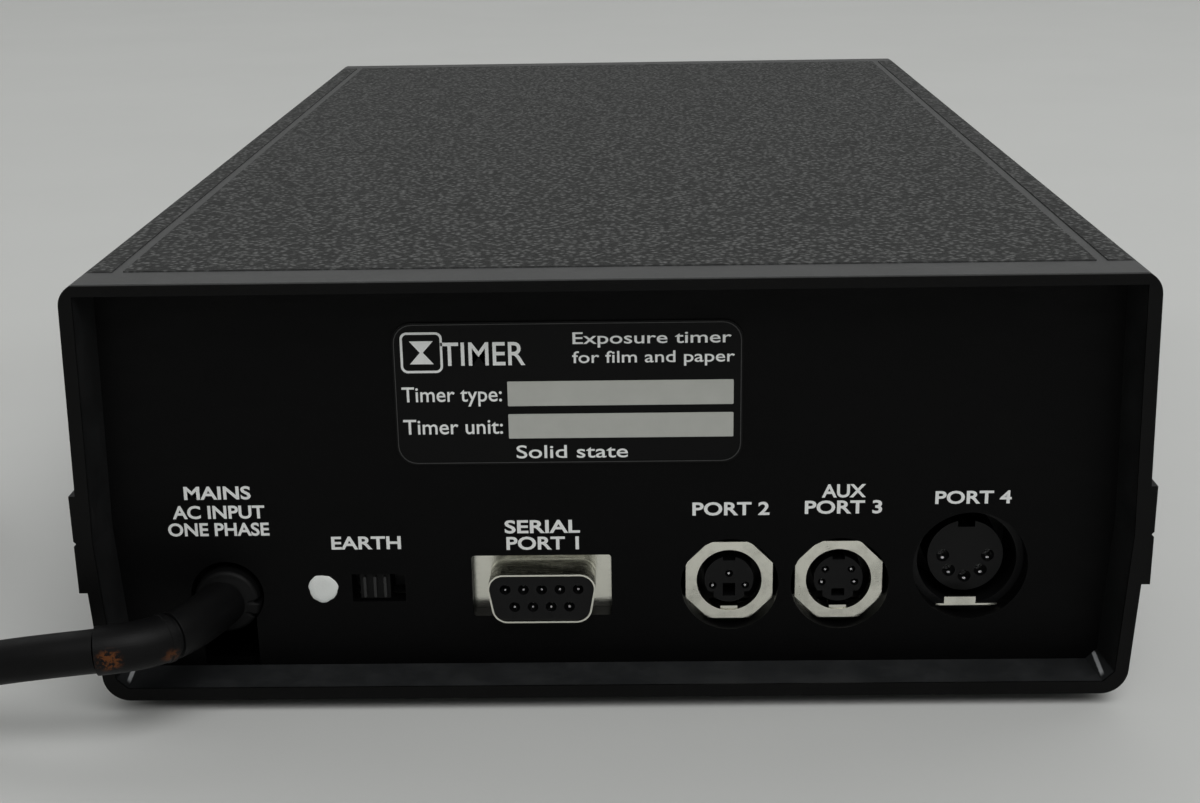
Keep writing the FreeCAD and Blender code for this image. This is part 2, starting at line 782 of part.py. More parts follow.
def mini_socket(name, x, pins, key):
    """A shielded round socket: can whose eight-sided face stands in the hole, cored body and contacts."""
    face = f"({REAR_BACK} - 0.05)"
    can = new_body(f"{name}_shield")
    low, high = "mini_z - mini_high / 2", "mini_z + mini_high / 2"
    left, right = f"{x} - mini_wide / 2", f"{x} + mini_wide / 2"
    outline = [
        (left, low),
        (right, low),
        (right, f"{high} - mini_corner"),
        (f"{right} - mini_corner", high),
        (f"{left} + mini_corner", high),
        (left, f"{high} - mini_corner"),
    ]
    pad(can, "XZ", [outline], f"{face} - 4", "4")
    raised = [
        (f"{left} + mini_corner", low),
        (f"{right} - mini_corner", low),
        (right, f"{low} + mini_corner"),
        (right, f"{high} - mini_corner"),
        (f"{right} - mini_corner", high),
        (f"{left} + mini_corner", high),
        (left, f"{high} - mini_corner"),
        (left, f"{low} + mini_corner"),
    ]
    pad(can, "XZ", [raised], face, "mini_reach")
    pocket(can, "XZ", [(x, "mini_z", "mini_mouth")], f"{face} - 5", "mini_reach + 6")
    hall = rectangle(x, "mini_z", "mini_wide - 0.8", "mini_high - 0.8")
    pocket(can, "XZ", [hall], f"{face} - 4.1", "3.6")
    tongue = rectangle(x, "mini_z - mini_mouth + 0.25", "2.6", "0.7")
    pad(can, "XZ", [tongue], f"{face} - 2.2", "mini_reach + 1.9")

    body = new_body(f"{name}_body")
    rear_block = rectangle(x, "mini_z - 0.3", "mini_wide - 1", "mini_high - 1.8")
    pad(body, "XZ", [rear_block], f"{face} - mini_deep", "mini_deep - 4.5")
    pad(body, "XZ", [(x, "mini_z", "mini_mouth - 0.1")], f"{face} - 4.6", "0.6")
    pad(body, "XZ", [(x, "mini_z", "mini_core")], f"{face} - 4.1", "mini_reach + 3.7")
    notch = rectangle(x, "mini_z + mini_core", "1.9", "1.3")
    key_z, key_wide, key_high = key
    slots = [notch, rectangle(x, f"mini_z + {key_z}", key_wide, key_high)]
    for side in ("- 2.9", "+ 2.9"):
        slots.append(rectangle(f"{x} {side}", "mini_z - 2.75", "1.1", "1.4"))
    pocket(body, "XZ", slots, f"{face} - 3", "mini_reach + 4")
    holes = [(f"{x} + {dx}", f"mini_z + {dz}", "0.6") for dx, dz in pins]
    pocket(body, "XZ", holes, f"{face} - 3.6", "mini_reach + 4")

    contacts = []
    for i, (dx, dz) in enumerate(pins):
        spot = (f"{x} + {dx}", f"mini_z + {dz}")
        sleeve = rod("y", spot[0], f"{face} - 3.55", spot[1], "0.5", "mini_reach + 1.2")
        contacts.append(less(sleeve, rod("y", spot[0], f"{face} - 3.1", spot[1], "0.3", "mini_reach + 2")))
        leg_x = f"{x} + {2.5 * (i - (len(pins) - 1) / 2)}"
        back = f"{face} - mini_deep"
        contacts.append(bent_leg(leg_x, f"{back} - 0.6", f"{back} - 0.02", "14", "0.5"))
    node(f"{name}_contacts", group(*contacts))


def remote_socket():
    """A five-way round socket with a plastic body and a sprung earth tongue under the core."""
    face = f"{REAR_BACK} - 0.05"
    body = new_body("remote_socket_body")
    outline = rectangle("remote_x", "board_top + 0.05 + remote_high / 2", "remote_wide", "remote_high")
    pad(body, "XZ", [outline], f"{face} - remote_deep", "remote_deep")
    dress(body, "Fillet", "1.5", lambda e: runs_along(e, Y))
    ring = [("remote_x", "remote_z", "remote_mouth")]
    pocket(body, "XZ", ring, f"{face} - 10", "12")
    core_face = f"{face} - 1.2"
    pad(body, "XZ", [("remote_x", "remote_z", "remote_core")], f"{face} - 10.5", "9.3")
    key = rectangle("remote_x", "remote_z + remote_core", "2.6", "2.2")
    pocket(body, "XZ", [key], f"{core_face} - 6", "7")
    spots = remote_pin_spots()
    pocket(body, "XZ", [(x, z, "1.0") for x, z in spots], f"{core_face} - 7.6", "8.6")

    contacts = []
    for i, (x, z) in enumerate(spots):
        sleeve = rod("y", x, f"{core_face} - 7.5", z, "0.9", "5.0")
        contacts.append(less(sleeve, rod("y", x, f"{core_face} - 6", z, "0.62", "4.5")))
        leg_x = f"remote_x + {2.6 * (i - 2)}"
        back = f"{face} - remote_deep"
        contacts.append(bent_leg(leg_x, f"{back} - 0.7", f"{back} - 0.02", "14", "0.6"))
    node("remote_socket_contacts", group(*contacts))

    tongue_z = "(remote_z - remote_mouth + 0.45)"
    tongue = block("remote_x - 1.2", f"{face} - 8", tongue_z, "3.4", "9.5", "0.3")
    bar = block("remote_x - 4.7", f"{face} + 1.2", tongue_z, "9.4", "0.3", "0.3")
    lip = block("remote_x - 1.4", f"{face} + 1.2", tongue_z, "4.8", "0.3", "1.4")
    node("remote_socket_spring", join(tongue, bar, lip))


def remote_pin_spots():
    """Five places on a half circle, open upwards, 45 degrees apart."""
    spots = []
    for i in range(5):
        angle = math.radians(180 + 45 * i)
        across, up = round(math.cos(angle), 6), round(math.sin(angle), 6)
        spots.append((f"remote_x + {across} * remote_pins", f"remote_z + {up} * remote_pins"))
    return spots


# ---- ground switch -----------------------------------------------------------------------------------


def ground_switch():
    """A slide switch behind the panel: plastic body, metal frame with two legs, and a slider."""
    back = f"{REAR_BACK} - 0.1"
    body = new_body("ground_switch_body")
    pad(body, "XZ", [rectangle("switch_x", "switch_z", "13", "6.4")], f"{back} - 6", "5.4")
    groove = rectangle("switch_x", "switch_z", "slot_wide + 0.6", "slot_high")
    pocket(body, "XZ", [groove], f"{back} - 3.2", "4")

    frame = new_body("ground_switch_frame")
    pad(frame, "XZ", [rectangle("switch_x", "switch_z", "19", "6.8")], f"{back} - 0.5", "0.5")
    opening = rectangle("switch_x", "switch_z", "slot_wide + 0.6", "slot_high")
    pocket(frame, "XZ", [opening], f"{back} - 1", "2")
    for side in (-1, 1):
        leg = rectangle(f"switch_x + {side} * 8", "board_top - 0.6 + 3.5", "1.2", "7")
        pad(frame, "XZ", [leg], f"{back} - 2.5", "2.2")

    slider = new_body("ground_switch_slider")
    rest_x = "switch_x + slide_rest"
    grip = rectangle(rest_x, "switch_z", "slider_wide", "slider_high - 0.1")
    pad(slider, "XZ", [grip], f"{back} - 3", f"{REAR_FACE} - 0.7 - ({back}) + 3")

    legs = []
    for i in range(3):
        legs.append(bent_leg(f"switch_x + {4 * (i - 1)}", f"{back} - 9", f"{back} - 6.02", "switch_z", "0.6"))
    return legs


# ---- mains cord --------------------------------------------------------------------------------------

# The cord's route as points chosen by hand: round the sleeve's bend, out to the coil, and on to the plug.
SLEEVE_ROUTE = [
    (59.1, 124.8, 16.05),
    (59.1, 129.6, 16.05),
    (60.3, 135.0, 15.95),
    (63.7, 139.3, 15.7),
    (68.8, 141.6, 15.45),
    (74.4, 142.1, 15.2),
]
CORD_ROUTE = [
    (74.4, 142.1, 15.2),
    (83.3, 142.9, 14.6),
    (92.4, 142.2, 13.0),
    (101.3, 140.0, 10.2),
    (110.2, 136.4, 7.0),
    (119.6, 132.2, 4.6),
    (130.0, 129.2, 3.4),
    (141.0, 127.7, 3.25),
    (152.0, 127.2, 3.3),
    (162.0, 126.5, 3.25),
]
CORD_END_ROUTE = [
    (212.5, 36.5, 9.85),
    (205.3, 28.3, 9.8),
    (198.4, 18.6, 10.5),
    (194.9, 7.2, 11.7),
    (194.3, -4.8, 12.9),
]
PLUG_TAIL = (194.3, -4.8, 13.0)


def rounded_route(points, name):
    """Straight runs joined by tangent arcs, each arc as large as its two runs allow."""
    spots = [Vector(*p) for p in points]
    edges, radii, here = [], [], spots[0]
    for before, corner, after in zip(spots, spots[1:], spots[2:]):
        come, go = (corner - before).normalize(), (after - corner).normalize()
        half_turn = come.getAngle(go) / 2
        reach = 0.45 * min(corner.distanceToPoint(before), after.distanceToPoint(corner))
        radius = reach / math.tan(half_turn)
        inward = (go - come).normalize()
        middle = corner + inward * radius * (1 / math.cos(half_turn) - 1)
        first, last = corner - come * reach, corner + go * reach
        edges.append(Part.LineSegment(here, first).toShape())
        edges.append(Part.Arc(first, middle, last).toShape())
        radii.append(round(radius, 1))
        here = last
    edges.append(Part.LineSegment(here, spots[-1]).toShape())
    print(name, "bend radii", radii, "mm")
    return Part.Wire(edges)


def tube(points, radius, name):
    """A round solid along a rounded route, checked against its length."""
    spine = rounded_route(points, name)
    start = spine.Edges[0].tangentAt(spine.Edges[0].FirstParameter)
    circle = Part.Wire(Part.Circle(spine.Edges[0].Vertexes[0].Point, start, radius).toShape())
    solid = spine.makePipeShell([circle], True, False)
    expected = math.pi * radius**2 * spine.Length
    if abs(solid.Volume - expected) > 0.01 * expected:
        raise RuntimeError(f"{name} has volume {solid.Volume:.0f}, and {expected:.0f} was expected")
    return solid


def shaped(name, shape):
    """A sub-part whose shape is set with Part's own functions."""
    feature = DOC.addObject("Part::Feature", name)
    feature.Shape = shape
    feature.Placement = Placement()
    return node(name, feature)


def strain_relief():
    """The bush in the panel's notch, its collar outside, and the bending sleeve round the cord."""
    spine = rounded_route(SLEEVE_ROUTE, "strain_relief")
    root, tip = number("sleeve_root"), number("sleeve_tip")
    stations, sections = 8, []
    for i in range(stations + 1):
        point, heading = point_along(spine, spine.Length * i / stations)
        radius = root + (tip - root) * i / stations
        sections.append(Part.Wire(Part.Circle(point, heading, radius).toShape()))
    sleeve = Part.makeLoft(sections, True)
    panel = number("panel_thick")
    back = Vector(number("cord_x"), SLEEVE_ROUTE[0][1] - panel, number("cord_z"))
    neck_long = panel + number("collar_long")
    neck = Part.makeCylinder(number("bush_radius"), neck_long, back, Y)
    flange = Part.makeCylinder(number("bush_radius") + 1.4, 2.3, back - Y * 2.4, Y)
    shaped("strain_relief", neck.fuse([flange, sleeve]).removeSplitter())


def point_along(spine, distance):
    """The point and unit tangent of a wire at a distance from its start."""
    for edge in spine.OrderedEdges:
        if distance <= edge.Length + 1e-6:
            parameter = edge.getParameterByLength(min(distance, edge.Length))
            return edge.valueAt(parameter), edge.tangentAt(parameter)
        distance -= edge.Length
    raise ValueError("that is past the end of the wire")


def mains_cord():
    radius = number("cord_radius")
    shaped("power_cord", tube(CORD_ROUTE, radius, "power_cord"))
    shaped("power_cord_end", tube(CORD_END_ROUTE, radius, "power_cord_end"))
    outer = rod("z", "coil_x", "coil_y", "0", "coil_outer", "coil_high")
    hole = rod("z", "coil_x", "coil_y", "-1", "coil_inner", "coil_high + 2")
    node("power_cord_coil", rounded(less(outer, hole), 3.0, lambda e: e.Curve.TypeId == "Part::GeomCircle"))


def mains_plug():
    """A moulded three-pin plug that lies beside the coil, pins towards the front."""
    x, y, z = PLUG_TAIL
    body = new_body("plug_body")
    back = f"({y} - plug_tail)"
    outline = rectangle(str(x), "plug_high / 2", "plug_wide", "plug_high")
    pad(body, "XZ", [outline], f"{back} - plug_long", "plug_long")
    dress(body, "Fillet", "6", lambda e: runs_along(e, Y))
    shoulder = y - number("plug_tail")
    dress(body, "Fillet", "3", lambda e: flat_at(e, Y, shoulder))
    tail = body.newObject("PartDesign::AdditiveCone", "Tail")
    tail.Radius1, tail.Radius2, tail.Height = 4.6, 8.0, number("plug_tail") + 0.5
    tail.Placement = Placement(Vector(x, y, z), Rotation(X, 90))
    body.Tip = tail
    blade_z = "plug_high / 2 + 4.2"
    tip_y = f"{back} - plug_long - blade_long"
    sides = (f"{x} - blade_pitch / 2", f"{x} + blade_pitch / 2")
    blades = [centred_block(side, tip_y, blade_z, "1.5", "blade_long", "6.4") for side in sides]
    earth = rod("y", str(x), f"{tip_y} - 2.4", f"{blade_z} - earth_drop", "2.4", "blade_long + 2.4")
    node("plug_pins", group(*blades, earth))


# ---- main board and its parts ------------------------------------------------------------------------


def board_screw_spots():
    """The main board's four screws; the rear pair stands clear of the sockets."""
    rows = (f"{BOARD_REAR} - board_long + 5", f"{BOARD_REAR} - 24")
    return [(x, y) for x in ("board_left + 4", "board_right - 4") for y in rows]


def transformer_screw_spots():
    return [(f"core_x + {side} * 30", "core_y") for side in (-1, 1)]


def socket_pin_spots():
    """Where the sockets' legs pass through the main board."""
    flange_y = f"{REAR_BACK} - 0.55"
    pins = [(x, f"{flange_y} - {10.15 if i < 5 else 8.95}") for i, (x, _) in enumerate(serial_holes())]
    mini_y = f"{REAR_BACK} - 0.05 - mini_deep - 0.35"
    pins += [(f"shutter_x + {2.5 * (i - 1)}", mini_y) for i in range(3)]
    pins += [(f"photo_x + {2.5 * (i - 1.5)}", mini_y) for i in range(4)]
    pins += [(f"remote_x + {2.6 * (i - 2)}", f"{REAR_BACK} - 0.05 - remote_deep - 0.4") for i in range(5)]
    pins += [(f"switch_x + {4 * (i - 1)}", f"{REAR_BACK} - 8.8") for i in range(3)]
    return pins


def main_board():
    body = new_body("main_board")
    middle = ("(board_left + board_right) / 2", f"{BOARD_REAR} - board_long / 2")
    outline = rectangle(*middle, "board_right - board_left", "board_long")
    pad(body, "XY", [outline], BOARD_LOW, "board_thick")
    holes = [(x, y, "1.2") for x, y in board_screw_spots()]
    holes += [(x, y, "0.5") for x, y in socket_pin_spots()]
    holes += [rectangle(f"switch_x + {side} * 8", f"{REAR_BACK} - 1.6", "1.6", "3") for side in (-1, 1)]
    pocket(body, "XY", holes, f"{BOARD_LOW} - 1", "board_thick + 2")


def small_screw(axis, x, y, z):
    """A board screw whose head stands on the board at x, y, z and whose shank goes the other way."""
    stem_y, stem_z = (f"{y} - 5", z) if axis == "y" else (y, f"{z} - 5")
    head = rod(axis, x, y, z, "board_screw_head", "1.6")
    stem = rod(axis, x, stem_y, stem_z, "board_screw_shank", "board_thick + 3.5")
    return join(head, stem)


def board_fasteners():
    """The screws of the main board and of the display board, all one size."""
    upright = []
    for x, y in board_screw_spots():
        screw = small_screw("z", x, y, "board_top")
        upright.append(less(screw, *cross_slots(x, y, "board_top + 0.9", "board_screw_head")))
    back = f"{FRONT_BOARD} + board_thick"
    lying = [small_screw("y", x, back, z) for x, z in display_screw_spots()]
    node("board_screws", group(*upright, *lying))


def chip(x, y, long, wide, pins):
    """A dual in-line chip on the board, long along X: the body, its end notch and two rows of legs."""
    body = block(f"{x} - {long} / 2", f"{y} - {wide} / 2", "board_top + 0.8", long, wide, "3.4")
    notch = rod("z", f"{x} - {long} / 2", y, "board_top + 3.8", "1", "1")
    legs = []
    for side in (-1, 1):
        leg_y = f"{y} + {side} * ({wide} / 2 + 0.3) - 0.25"
        for i in range(pins // 2):
            leg_x = f"{x} + {2.54 * (i - (pins / 2 - 1) / 2)} - 0.25"
            legs.append(block(leg_x, leg_y, "board_top + 0.02", "0.5", "0.5", "2.4"))
    return [less(body, notch), *legs]


def logic_chips():
    """One large processor and three small chips."""
    solids = chip("(-32)", f"{BOARD_REAR} - 36", "51", "13.6", 40)
    for x, y in (("(-46)", "54"), ("(-20)", "54"), ("(-46)", "66")):
        solids += chip(x, f"{BOARD_REAR} - {y}", "20", "6.4", 16)
    node("logic_chips", group(*solids))


def relays():
    low = "board_top + 0.05"
    y = f"{BOARD_REAR} - 74"
    node("relays", group(*[block(x, y, low, "15.5", "20", "15.6") for x in ("9.5", "27.5")]))


def smoothing_capacitors():
    """Two electrolytic cans with a scored top."""
    cans = []
    for back in ("28", "42"):
        y = f"{BOARD_REAR} - {back}"
        can = rod("z", "13", y, "board_top + 0.4", "6.2", "24")
        cans.append(less(can, block("9", f"{y} - 0.2", "board_top + 24.1", "8", "0.4", "1")))
    node("smoothing_capacitors", group(*cans))


def regulator():
    """A finned heat sink on the board and the regulator clipped to its back."""
    x, y, low = "(-10)", f"({BOARD_REAR} - 70)", "board_top + 0.05"
    base = block(f"{x} - 8", f"{y} - 1.5", low, "20", "1.6", "22")
    fins = [block(f"{x} - 8 + {4.6 * i}", f"{y} + 0.05", low, "1.6", "9", "22") for i in range(5)]
    node("heat_sink", join(base, *fins))
    tab = block(f"{x} - 5", f"{y} - 2.85", "board_top + 6", "10", "1.3", "14")
    package = block(f"{x} - 5", f"{y} - 6", "board_top + 6", "10", "3.2", "9")
    tails = [block(f"{x} + {2.54 * (i - 1)} - 0.4", f"{y} - 4.6", low, "0.8", "0.5", "6") for i in range(3)]
    node("voltage_regulator", join(tab, package, *tails))


def fuse_and_clips():
    """A glass fuse across the board, held by a clip round each cap."""
    y, z, low = f"({BOARD_REAR} - 28)", "board_top + 5", "board_top + 0.05"
    glass = rod("x", "27.5", y, z, "2.4", "13")
    caps = [rod("x", x, y, z, "2.6", "3.4") for x in ("24.05", "40.55")]
    node("fuse", group(glass, *caps))
    clips = []
    for x in ("24.6", "41.0"):
        base = block(x, f"{y} - 3.2", low, "2.4", "6.4", "0.5")
        cheeks = [block(x, f"{y} + {side}", low, "2.4", "0.5", "7.5") for side in (-3.2, 2.7)]
        clips.append(join(base, *cheeks))
    node("fuse_clips", group(*clips))


def board_connectors():
    """The display ribbon's header at the board's front edge, and the mains screw terminals."""
    low = "board_top + 0.05"
    header = less(
        block("(-54)", f"{BOARD_REAR} - 78.5", low, "34", "6", "8.6"),
        block("(-52.6)", f"{BOARD_REAR} - 76.9", "board_top + 2", "31.2", "2.8", "8"),
    )
    strip = block("27", f"{BOARD_REAR} - 51", low, "21", "9", "10")
    wells = [rod("z", f"{x}", f"{BOARD_REAR} - 46.5", "board_top + 7", "1.9", "4") for x in TERMINAL_X]
    mouths = [block(f"{x} - 1.5", f"{BOARD_REAR} - 44", "board_top + 2", "3", "3", "3.4") for x in TERMINAL_X]
    node("board_connectors", group(header, less(strip, *wells, *mouths)))


# ---- transformer -------------------------------------------------------------------------------------


def transformer():
    """A laminated core with one winding, strapped to two pads on the case's floor."""
    low = "(foot_high + wall + 2.05)"
    mid = f"({low} + core_high / 2)"
    stack_y = "core_y - core_deep / 2"
    stack = centred_block("core_x", stack_y, mid, "core_wide", "core_deep", "core_high")
    sides = [f"core_x + {side} * (core_wide / 2 - 12)" for side in (-1, 1)]
    windows = [centred_block(x, f"{stack_y} - 1", mid, "8", "core_deep + 2", "core_high - 16") for x in sides]
    node("transformer_core", less(stack, *windows))

    coil_y = "core_y - winding_deep / 2"
    coil = centred_block("core_x", coil_y, mid, "winding_wide", "winding_deep", "winding_high - 0.2")
    slots = [centred_block("core_x", f"{stack_y} - 0.1", mid, "16.2", "core_deep + 0.2", "winding_high + 1")]
    for side in (-1, 1):
        x = f"core_x + {side} * (core_wide / 2 + 0.1)"
        slots.append(centred_block(x, f"{stack_y} - 0.1", mid, "16.4", "core_deep + 0.2", "winding_high + 1"))
    node("transformer_windings", less(coil, *slots))

    strap_y, strap_deep = "core_y - 5", "10"
    left, inner_low = "core_x - core_wide / 2", f"{low} - 1"
    outer = block(f"{left} - 0.9", strap_y, low, "core_wide + 1.8", strap_deep, "core_high + 0.9")
    inner = block(f"{left} - 0.05", "core_y - 8", inner_low, "core_wide + 0.1", "16", "core_high + 1.05")
    ears = []
    for ear_x, (hole_x, hole_y) in zip(("core_x - 34.1", "core_x + 24"), transformer_screw_spots()):
        ear = block(ear_x, strap_y, low, "10.1", strap_deep, "0.8")
        ears.append(less(ear, rod("z", hole_x, hole_y, inner_low, "1.6", "4")))
    node("transformer_strap", join(less(outer, inner), *ears))

    screws = []
    for x, y in transformer_screw_spots():
        head = rod("z", x, y, f"{low} + 0.8", "2.8", "1.9")
        stem = rod("z", x, y, "foot_high + 0.4", "1.45", f"{low} - foot_high + 0.6")
        screws.append(less(join(head, stem), *cross_slots(x, y, f"{low} + 1.9", "2.8")))
    node("transformer_screws", group(*screws))


# ---- front controls ----------------------------------------------------------------------------------


def display():
    """The tinted window in its seat, and the display board with four digit modules behind it."""
    window = new_body("display_window")
    outline = rectangle("window_x", "window_z", "window_wide", "window_high")
    pad(window, "XZ", [outline], f"{FRONT_FACE} - 0.4", "window_thick")
    dress(window, "Chamfer", "0.3", lambda e: flat_at(e, Y, FRONT_FACE_Y - 0.4))

    board = new_body("display_board")
    wide, middle = "display_right - display_left", "(display_left + display_right) / 2"
    face = rectangle(middle, "display_low + display_high / 2", wide, "display_high")
    pad(board, "XZ", [face], FRONT_BOARD, "board_thick")
    pocket(board, "XZ", [(x, z, "1.2") for x, z in display_screw_spots()], f"{FRONT_BOARD} - 1", "4")

    places = [f"window_x + {15 * (i - 1.5)}" for i in range(4)]
    front = f"{FRONT_BOARD} - 9"
    digits = [centred_block(x, front, "window_z", "12.6", "8.95", "17") for x in places]
    node("display_digits", group(*digits))


def push_button(name, x, z):
    """A round cap with a dished face and a stem; the collar behind the panel keeps it in."""
    tip, collar, end = f"{FRONT_FACE} - button_proud", f"{FRONT_BACK} + 0.15", f"{FRONT_BOARD} - 3.6"
    half = [
        ("0", f"{tip} + 0.5"),
        ("button_radius * 0.5", f"{tip} + 0.25"),
        ("button_radius - 0.9", tip),
        ("button_radius", f"{tip} + 0.9"),
        ("button_radius", collar),
        ("button_radius + 1", collar),
        ("button_radius + 1", f"{collar} + 1"),
        ("2", f"{collar} + 1"),
        ("2", end),
        ("0", end),
    ]
    turn(new_body(name), half, x, z)


def buttons():
    """Three push buttons and the switch that each one's stem works in."""
    for name, (x, z) in zip(("focus_button", "start_button", "reset_button"), button_spots()):
        push_button(name, x, z)
    switches = []
    for x, z in button_spots():
        case = centred_block(x, f"{FRONT_BOARD} - 5", z, "8", "4.95", "8")
        switches.append(less(case, rod("y", x, f"{FRONT_BOARD} - 6", z, "2.15", "4.8")))
    node("button_switches", group(*switches))


def time_control():
    """The time knob on its shaft, and the potentiometer that the shaft turns in, held by a nut."""
    pot_front = f"({FRONT_BACK} + 0.05)"
    collar_start = f"({FRONT_FACE} - 3)"
    pot = new_body("time_pot")
    pad(pot, "XZ", [("knob_x", "knob_z", "8.2")], pot_front, "8")
    collar = [("knob_x", "knob_z", "shaft_radius + 0.6")]
    pad(pot, "XZ", collar, collar_start, f"{pot_front} - {collar_start} + 0.5")
    pocket(pot, "XZ", [("knob_x", "knob_z", "shaft_radius + 0.06")], f"{collar_start} - 1", "11")
    lugs = [rectangle(f"knob_x + {5 * (i - 1)}", "knob_z - 10", "1.6", "5") for i in range(3)]
    pad(pot, "XZ", lugs, f"{pot_front} + 3", "0.6")

    nut = new_body("pot_nut")
    corners = [(math.cos(math.radians(60 * i)), math.sin(math.radians(60 * i))) for i in range(6)]
    hexagon = [(f"knob_x + {c:.6f} * 5.6", f"knob_z + {s:.6f} * 5.6") for c, s in corners]
    pad(nut, "XZ", [hexagon], f"{FRONT_FACE} - 2.25", "2.2")
    pocket(nut, "XZ", [("knob_x", "knob_z", "shaft_radius + 0.65")], f"{FRONT_FACE} - 3", "4")

    back, tip = f"({FRONT_FACE} - knob_gap)", f"({FRONT} - knob_reach)"
    half = [
        ("shaft_radius + 0.02", f"{back} - 3"),
        ("knob_skirt - 4", f"{back} - 3"),
        ("knob_skirt - 4", back),
        ("knob_skirt", back),
        ("knob_skirt", f"{back} - 1.6"),
        ("knob_radius + 0.4", f"{back} - 3.2"),
        ("knob_radius", f"{tip} + 1.2"),
        ("knob_radius - 1.2", tip),
        ("knob_cap_radius + 0.1", tip),
        ("knob_cap_radius + 0.1", f"{tip} + 0.8"),
        ("shaft_radius + 0.02", f"{tip} + 0.8"),
    ]
    knob = new_body("time_knob")
    turn(knob, half, "knob_x", "knob_z")
    flute = pocket(knob, "XZ", [("0", "knob_radius + 0.9", "1.6")], f"{tip} - 1", f"{back} - 4 - {tip} + 1")
    pattern = knob.newObject("PartDesign::PolarPattern", "Flutes")
    pattern.Originals = [flute]
    pattern.Axis = (flute.Profile[0], ["N_Axis"])
    pattern.Angle = 360
    pattern.Occurrences = 18
    knob.Tip = pattern

    shaft_long = f"{pot_front} + 2 - {tip}"
    node("time_shaft", rod("y", "knob_x", f"{tip} + 0.85", "knob_z", "shaft_radius", shaft_long))
    node("knob_cap", rod("y", "knob_x", f"{tip} + 0.1", "knob_z", "knob_cap_radius", "0.7"))


def power_switch():
    """A mains rocker switch: bezel and box in the panel, and the rocker that tips on its pin."""
    frame = new_body("power_switch_body")
    bezel_y = f"({FRONT_FACE} - 1.6)"
    bezel = rectangle("rocker_x", "rocker_z", "rocker_wide + 2.4", "rocker_high + 2.4")
    pad(frame, "XZ", [bezel], bezel_y, "1.55")
    box = rectangle("rocker_x", "rocker_z", "rocker_wide - 0.2", "rocker_high - 0.2")
    pad(frame, "XZ", [box], f"{bezel_y} + 1.5", "14")
    well = rectangle("rocker_x", "rocker_z", "rocker_wide - 2.6", "rocker_high - 3.4")
    pocket(frame, "XZ", [well], f"{bezel_y} - 1", "9")
    pivot_y = f"{FRONT_FACE} + rocker_pivot"
    pocket(frame, "YZ", [(pivot_y, "rocker_z", "1.06")], "rocker_x - 5.8", "11.6")

    rocker = new_body("power_rocker")
    side = [
        ("(-3.2)", "0"),
        ("(-4.3)", "(-6.8)"),
        ("0.4", "(-6.0)"),
        ("1.6", "0"),
        ("0.4", "6.0"),
        ("(-4.3)", "6.8"),
    ]
    pad(rocker, "YZ", [side], "-(rocker_wide - 3) / 2", "rocker_wide - 3")
    pad(rocker, "YZ", [("0", "0", "1")], "(-5.7)", "11.4")
    rocker.Placement = Placement(Vector(), Rotation(X, number("rocker_tilt")))
    place(rocker, "rocker_x", pivot_y, "rocker_z")

    spades = []
    for i in range(3):
        z = f"rocker_z + {6.5 * (i - 1)}"
        spades.append(block("rocker_x - 2.4", f"{bezel_y} + 15.52", f"{z} - 0.4", "4.8", "7", "0.8"))
    return spades


# ---- wiring ------------------------------------------------------------------------------------------


def lead(name, route):
    """One insulated wire, 2 mm thick."""
    return tube(route, 1.0, name)


def mains_leads():
    """The cord's inner end, its three leads to the screw terminals, and the two leads to the power switch."""
    panel_back = SLEEVE_ROUTE[0][1] - number("panel_thick")
    x, z = number("cord_x"), number("cord_z")
    end = panel_back - 14.5
    solids = [Part.makeCylinder(number("cord_radius"), 12, Vector(x, end, z), Y)]
    mouth_y, mouth_z = panel_back - 0.6 - 42, number("board_top") + 3.7
    for i, terminal in enumerate(TERMINAL_X):
        start_x = x + 2.1 * (i - 1)
        route = [
            (start_x, end - 0.05, z),
            (start_x - 0.8, end - 5, z + 2),
            ((start_x + terminal) / 2 + 1, (end + mouth_y) / 2, z + 7),
            (terminal + 0.5, mouth_y + 6.5, z + 2.4),
            (terminal, mouth_y, mouth_z),
        ]
        solids.append(lead(f"mains_lead_{i + 1}", route))
    switch_x, spade_y = number("rocker_x"), FRONT_FACE_Y + 21.0
    for i, height in enumerate((19.5, 26.0)):
        aside = 2.6 * i
        route = [
            (switch_x, spade_y, height),
            (switch_x + 0.5, spade_y + 10, height - 0.8),
            (switch_x + 1.5 + aside, spade_y + 24, 13.5),
            (switch_x + 0.8 + aside, spade_y + 44, 7.0),
            (switch_x + 2 + aside, spade_y + 72, 6.2),
            (switch_x + 4 + aside, spade_y + 98, 6.3),
            (switch_x + 14 + aside, spade_y + 120 - aside, 6.2),
            (switch_x + 36 + aside, spade_y + 130 - aside, 6.4),
            (switch_x + 62 + aside, spade_y + 131 - aside, 6.3),
        ]
        solids.append(lead(f"switch_lead_{i + 1}", route))
    shaped("mains_leads", Part.makeCompound(solids))


def ribbon_cable():
    """The flat cable from the main board's header to the back of the display board."""
    x, wide, thick = -52.0, 30.0, 1.0
    board_back = FRONT_FACE_Y + number("panel_thick") + number("front_board_set") + number("board_thick")
    rear = SLEEVE_ROUTE[0][1] - number("panel_thick") - 0.6
    route = [
        (x, rear - 75.5, 12.8),
        (x, rear - 75.6, 21.0),
        (x, rear - 84.0, 25.5),
        (x, rear - 105.0, 20.0),
        (x, rear - 135.0, 13.5),
        (x, rear - 165.0, 14.5),
        (x, rear - 190.0, 22.0),
        (x, board_back + 8.0, 28.5),
        (x, board_back + 0.05, 28.6),
    ]
    spine = rounded_route(route, "ribbon_cable")
    low = Vector(x, route[0][1] - thick / 2, route[0][2])
    corners = [low, low + X * wide, low + X * wide + Y * thick, low + Y * thick]
    section = Part.makePolygon([*corners, corners[0]])
    shaped("ribbon_cable", spine.makePipeShell([section], True, False))


